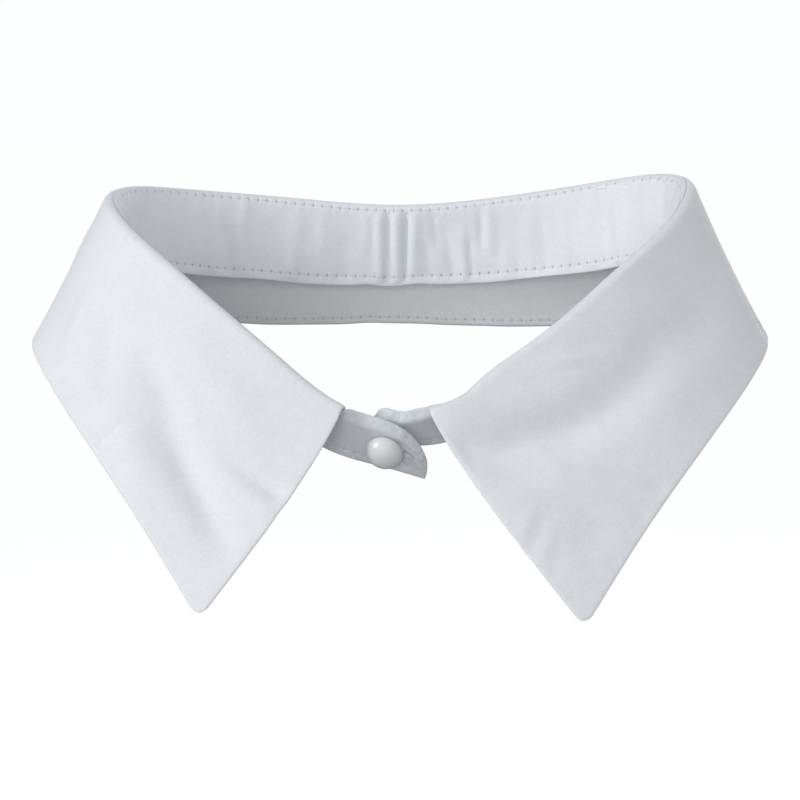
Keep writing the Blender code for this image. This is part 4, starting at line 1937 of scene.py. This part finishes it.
class SoftLight(NamedTuple):
    """A round soft light that points at the origin, in metres and watts."""

    name: str
    place: tuple[float, float, float]
    power: float
    glints: bool
    size: float = 0.8


@dataclass
class Studio:
    """A plain pale floor and sky, soft lights and the camera."""

    target: tuple[float, float, float] = (0.001, 0.0, 0.0)
    distance: float = 0.85
    elevation: float = 5.0
    lens: float = 149.2
    sensor: float = 36.0
    floor_height: float = -0.25
    floor_radius: float = 30.0
    lights: tuple[SoftLight, ...] = (
        SoftLight("side light", (-1.33, -0.60, 0.66), 10.6, True),
        SoftLight("front light", (-0.26, -1.58, 0.10), 8.0, False),
        SoftLight("right fill", (1.45, 0.10, 0.66), 4.8, False),
        SoftLight("back light", (0.50, 1.50, 0.35), 8.0, True),
    )
    ambient: float = 0.36
    sky: Colour = (0.97, 0.985, 1.0)
    floor_glow: float = 0.22
    floor_seen: Colour = (0.97, 0.975, 0.98)

    def build_floor(self) -> None:
        """Lay the floor, which the camera sees brighter than the collar does."""
        shape = bmesh.new()
        bmesh.ops.create_circle(shape, cap_ends=True, segments=96, radius=self.floor_radius,
                                matrix=Matrix.Translation((0, 0, self.floor_height)))
        material, wires, shader = Finish("pale floor").start(
            Base_Color=(0.04, 0.04, 0.04, 1.0), Roughness=0.9, Specular_IOR_Level=0.0,
            Emission_Strength=1.0)
        seen = wires.node('ShaderNodeLightPath').outputs["Is Camera Ray"]
        glow = wires.mix(seen, 3 * (self.floor_glow,), self.floor_seen)
        wires.feed(glow, shader.inputs["Emission Color"])
        one_mesh("floor", shape, material)

    def build_light(self) -> None:
        """Hang the lights and set the sky."""
        for soft in self.lights:
            lamp = bpy.data.lights.new(soft.name, 'AREA')
            lamp.energy = soft.power
            lamp.shape = 'DISK'
            lamp.size = soft.size
            light = bpy.data.objects.new(soft.name, lamp)
            light.location = soft.place
            light.rotation_euler = (-Vector(soft.place)).to_track_quat('-Z', 'Y').to_euler()
            light.visible_glossy = soft.glints
            bpy.context.scene.collection.objects.link(light)
        world = bpy.data.worlds.new("pale sky")
        bpy.context.scene.world = world
        world.use_nodes = True
        wires = Wiring(world.node_tree)
        back = world.node_tree.nodes["Background"]
        seen = wires.node('ShaderNodeLightPath').outputs["Is Camera Ray"]
        power = wires.math('MULTIPLY_ADD', seen, 1.0 - self.ambient, self.ambient)
        wires.feed(power, back.inputs["Strength"])
        back.inputs["Color"].default_value = (*self.sky, 1.0)
        bpy.context.scene.view_settings.view_transform = 'Standard'

    def build_camera(self) -> None:
        """Set the camera at the front, a little above the collar."""
        lens = bpy.data.cameras.new("camera")
        lens.lens = self.lens
        lens.sensor_width = self.sensor
        camera = bpy.data.objects.new("camera", lens)
        lift = math.radians(self.elevation)
        away = Vector((0.0, -math.cos(lift), math.sin(lift))) * self.distance
        camera.location = Vector(self.target) + away
        camera.rotation_euler = (-away).to_track_quat('-Z', 'Y').to_euler()
        bpy.context.scene.collection.objects.link(camera)
        bpy.context.scene.camera = camera


def sew_under_collar(sewing: Topstitching, leaf: CollarLeaf) -> bpy.types.Object:
    """Sew the row that holds the under collar back from the edge.

    Args:
        sewing: The stitching to use.
        leaf: The leaf.

    Returns:
        The row.
    """
    stations = np.linspace(*leaf.stitched, 240)
    shares = leaf.end_share(stations) - leaf.stitch_inset / leaf.form.fall(stations)
    along = path_lengths(leaf.form.leaf(stations, shares))
    path = np.stack((along, np.zeros_like(along)), axis=1)

    def spread(spots: np.ndarray) -> tuple[np.ndarray, np.ndarray]:
        """Stations and shares for lengths along the row."""
        reach = spots[:, 0]
        return np.interp(reach, along, stations), np.interp(reach, along, shares)

    return sewing.sew("under_collar_stitches", path,
                      lambda spots: leaf.ply(Side.OUTSIDE, *spread(spots)),
                      lambda spots: face(leaf.form.leaf, *spread(spots), LEAF_STEP).outward)


def sew_stand(sewing: Topstitching, stand: NeckStand, side: Side,
              label: str) -> list[bpy.types.Object]:
    """Sew the rows and the buttonhole of one stand ply.

    Args:
        sewing: The stitching to use.
        stand: The stand.
        side: Which ply.
        label: The start of the pieces' names.

    Returns:
        The two rows and the buttonhole's edge.
    """
    def place(spots: np.ndarray) -> np.ndarray:
        """Points of the ply."""
        return stand.ply(side, spots[:, 0], spots[:, 1])

    def outward(spots: np.ndarray) -> np.ndarray:
        """Directions out of the ply."""
        facing = face(stand.form.band, spots[:, 0], spots[:, 1], BAND_STEP)
        return side.value * facing.outward

    paths = {"top": stand.top_stitch_path, "foot": stand.foot_stitch_path}
    rows = [sewing.sew(f"{label}_stand_{edge}_stitches", path, place, outward)
            for edge, path in paths.items()]
    buttonhole = Buttonhole(stand, sewing.material)
    return [*rows, buttonhole.sew(side, f"{label}_buttonhole_stitches")]


Rows = dict[str, list[bpy.types.Object]]

# One white cotton in four tones: the under collar is painted lighter (painted light) and the outer
# stand much darker (painted shade); the inner stand is a touch darker than the upper collar.
COTTON_COLOURS_WITH_PAINTED_LIGHT = {
    "upper collar": (0.87, 0.89, 0.93),
    "under collar": (0.90, 0.92, 0.955),
    "inner stand": (0.86, 0.885, 0.925),
    "outer stand": (0.74, 0.765, 0.82),
}


def main() -> None:
    """Build the collar, its sewing, its button and the studio."""
    logging.basicConfig(level=logging.INFO, format="%(name)s: %(message)s")
    effects = (plain_weave_group(), soft_rumple_group(), stitch_pull_group())
    cotton = {ply: CottonFinish(f"{ply} cotton", colour, *effects).build()
              for ply, colour in COTTON_COLOURS_WITH_PAINTED_LIGHT.items()}
    thread = ThreadFinish().build()
    pearl = PearlFinish().build()

    form = NeckForm()
    leaf = CollarLeaf(form)
    stand = NeckStand(form)
    plies = {
        "upper": leaf.build_ply("upper_collar_cloth", Side.NECK, "upper_collar",
                                "upper_cotton", cotton["upper collar"]),
        "under": leaf.build_ply("under_collar_cloth", Side.OUTSIDE, "under_collar",
                                "under_cotton", cotton["under collar"]),
        "inner": stand.build_ply("inner_stand_cloth", Side.NECK, "stand_inner",
                                 "inner_cotton", cotton["inner stand"]),
        "outer": stand.build_ply("outer_stand_cloth", Side.OUTSIDE, "stand_outer",
                                 "outer_cotton", cotton["outer stand"]),
    }

    sewing = Topstitching(thread)
    rows: Rows = {
        "inner": sew_stand(sewing, stand, Side.NECK, "inner"),
        "outer": sew_stand(sewing, stand, Side.OUTSIDE, "outer"),
        "under": [sew_under_collar(sewing, leaf)],
    }

    button = PearlButton(stand)
    button.build_dome(pearl)
    button.build_stem(thread)

    studio = Studio()
    studio.build_floor()
    studio.build_light()
    studio.build_camera()


if __name__ == "__main__":
    main()
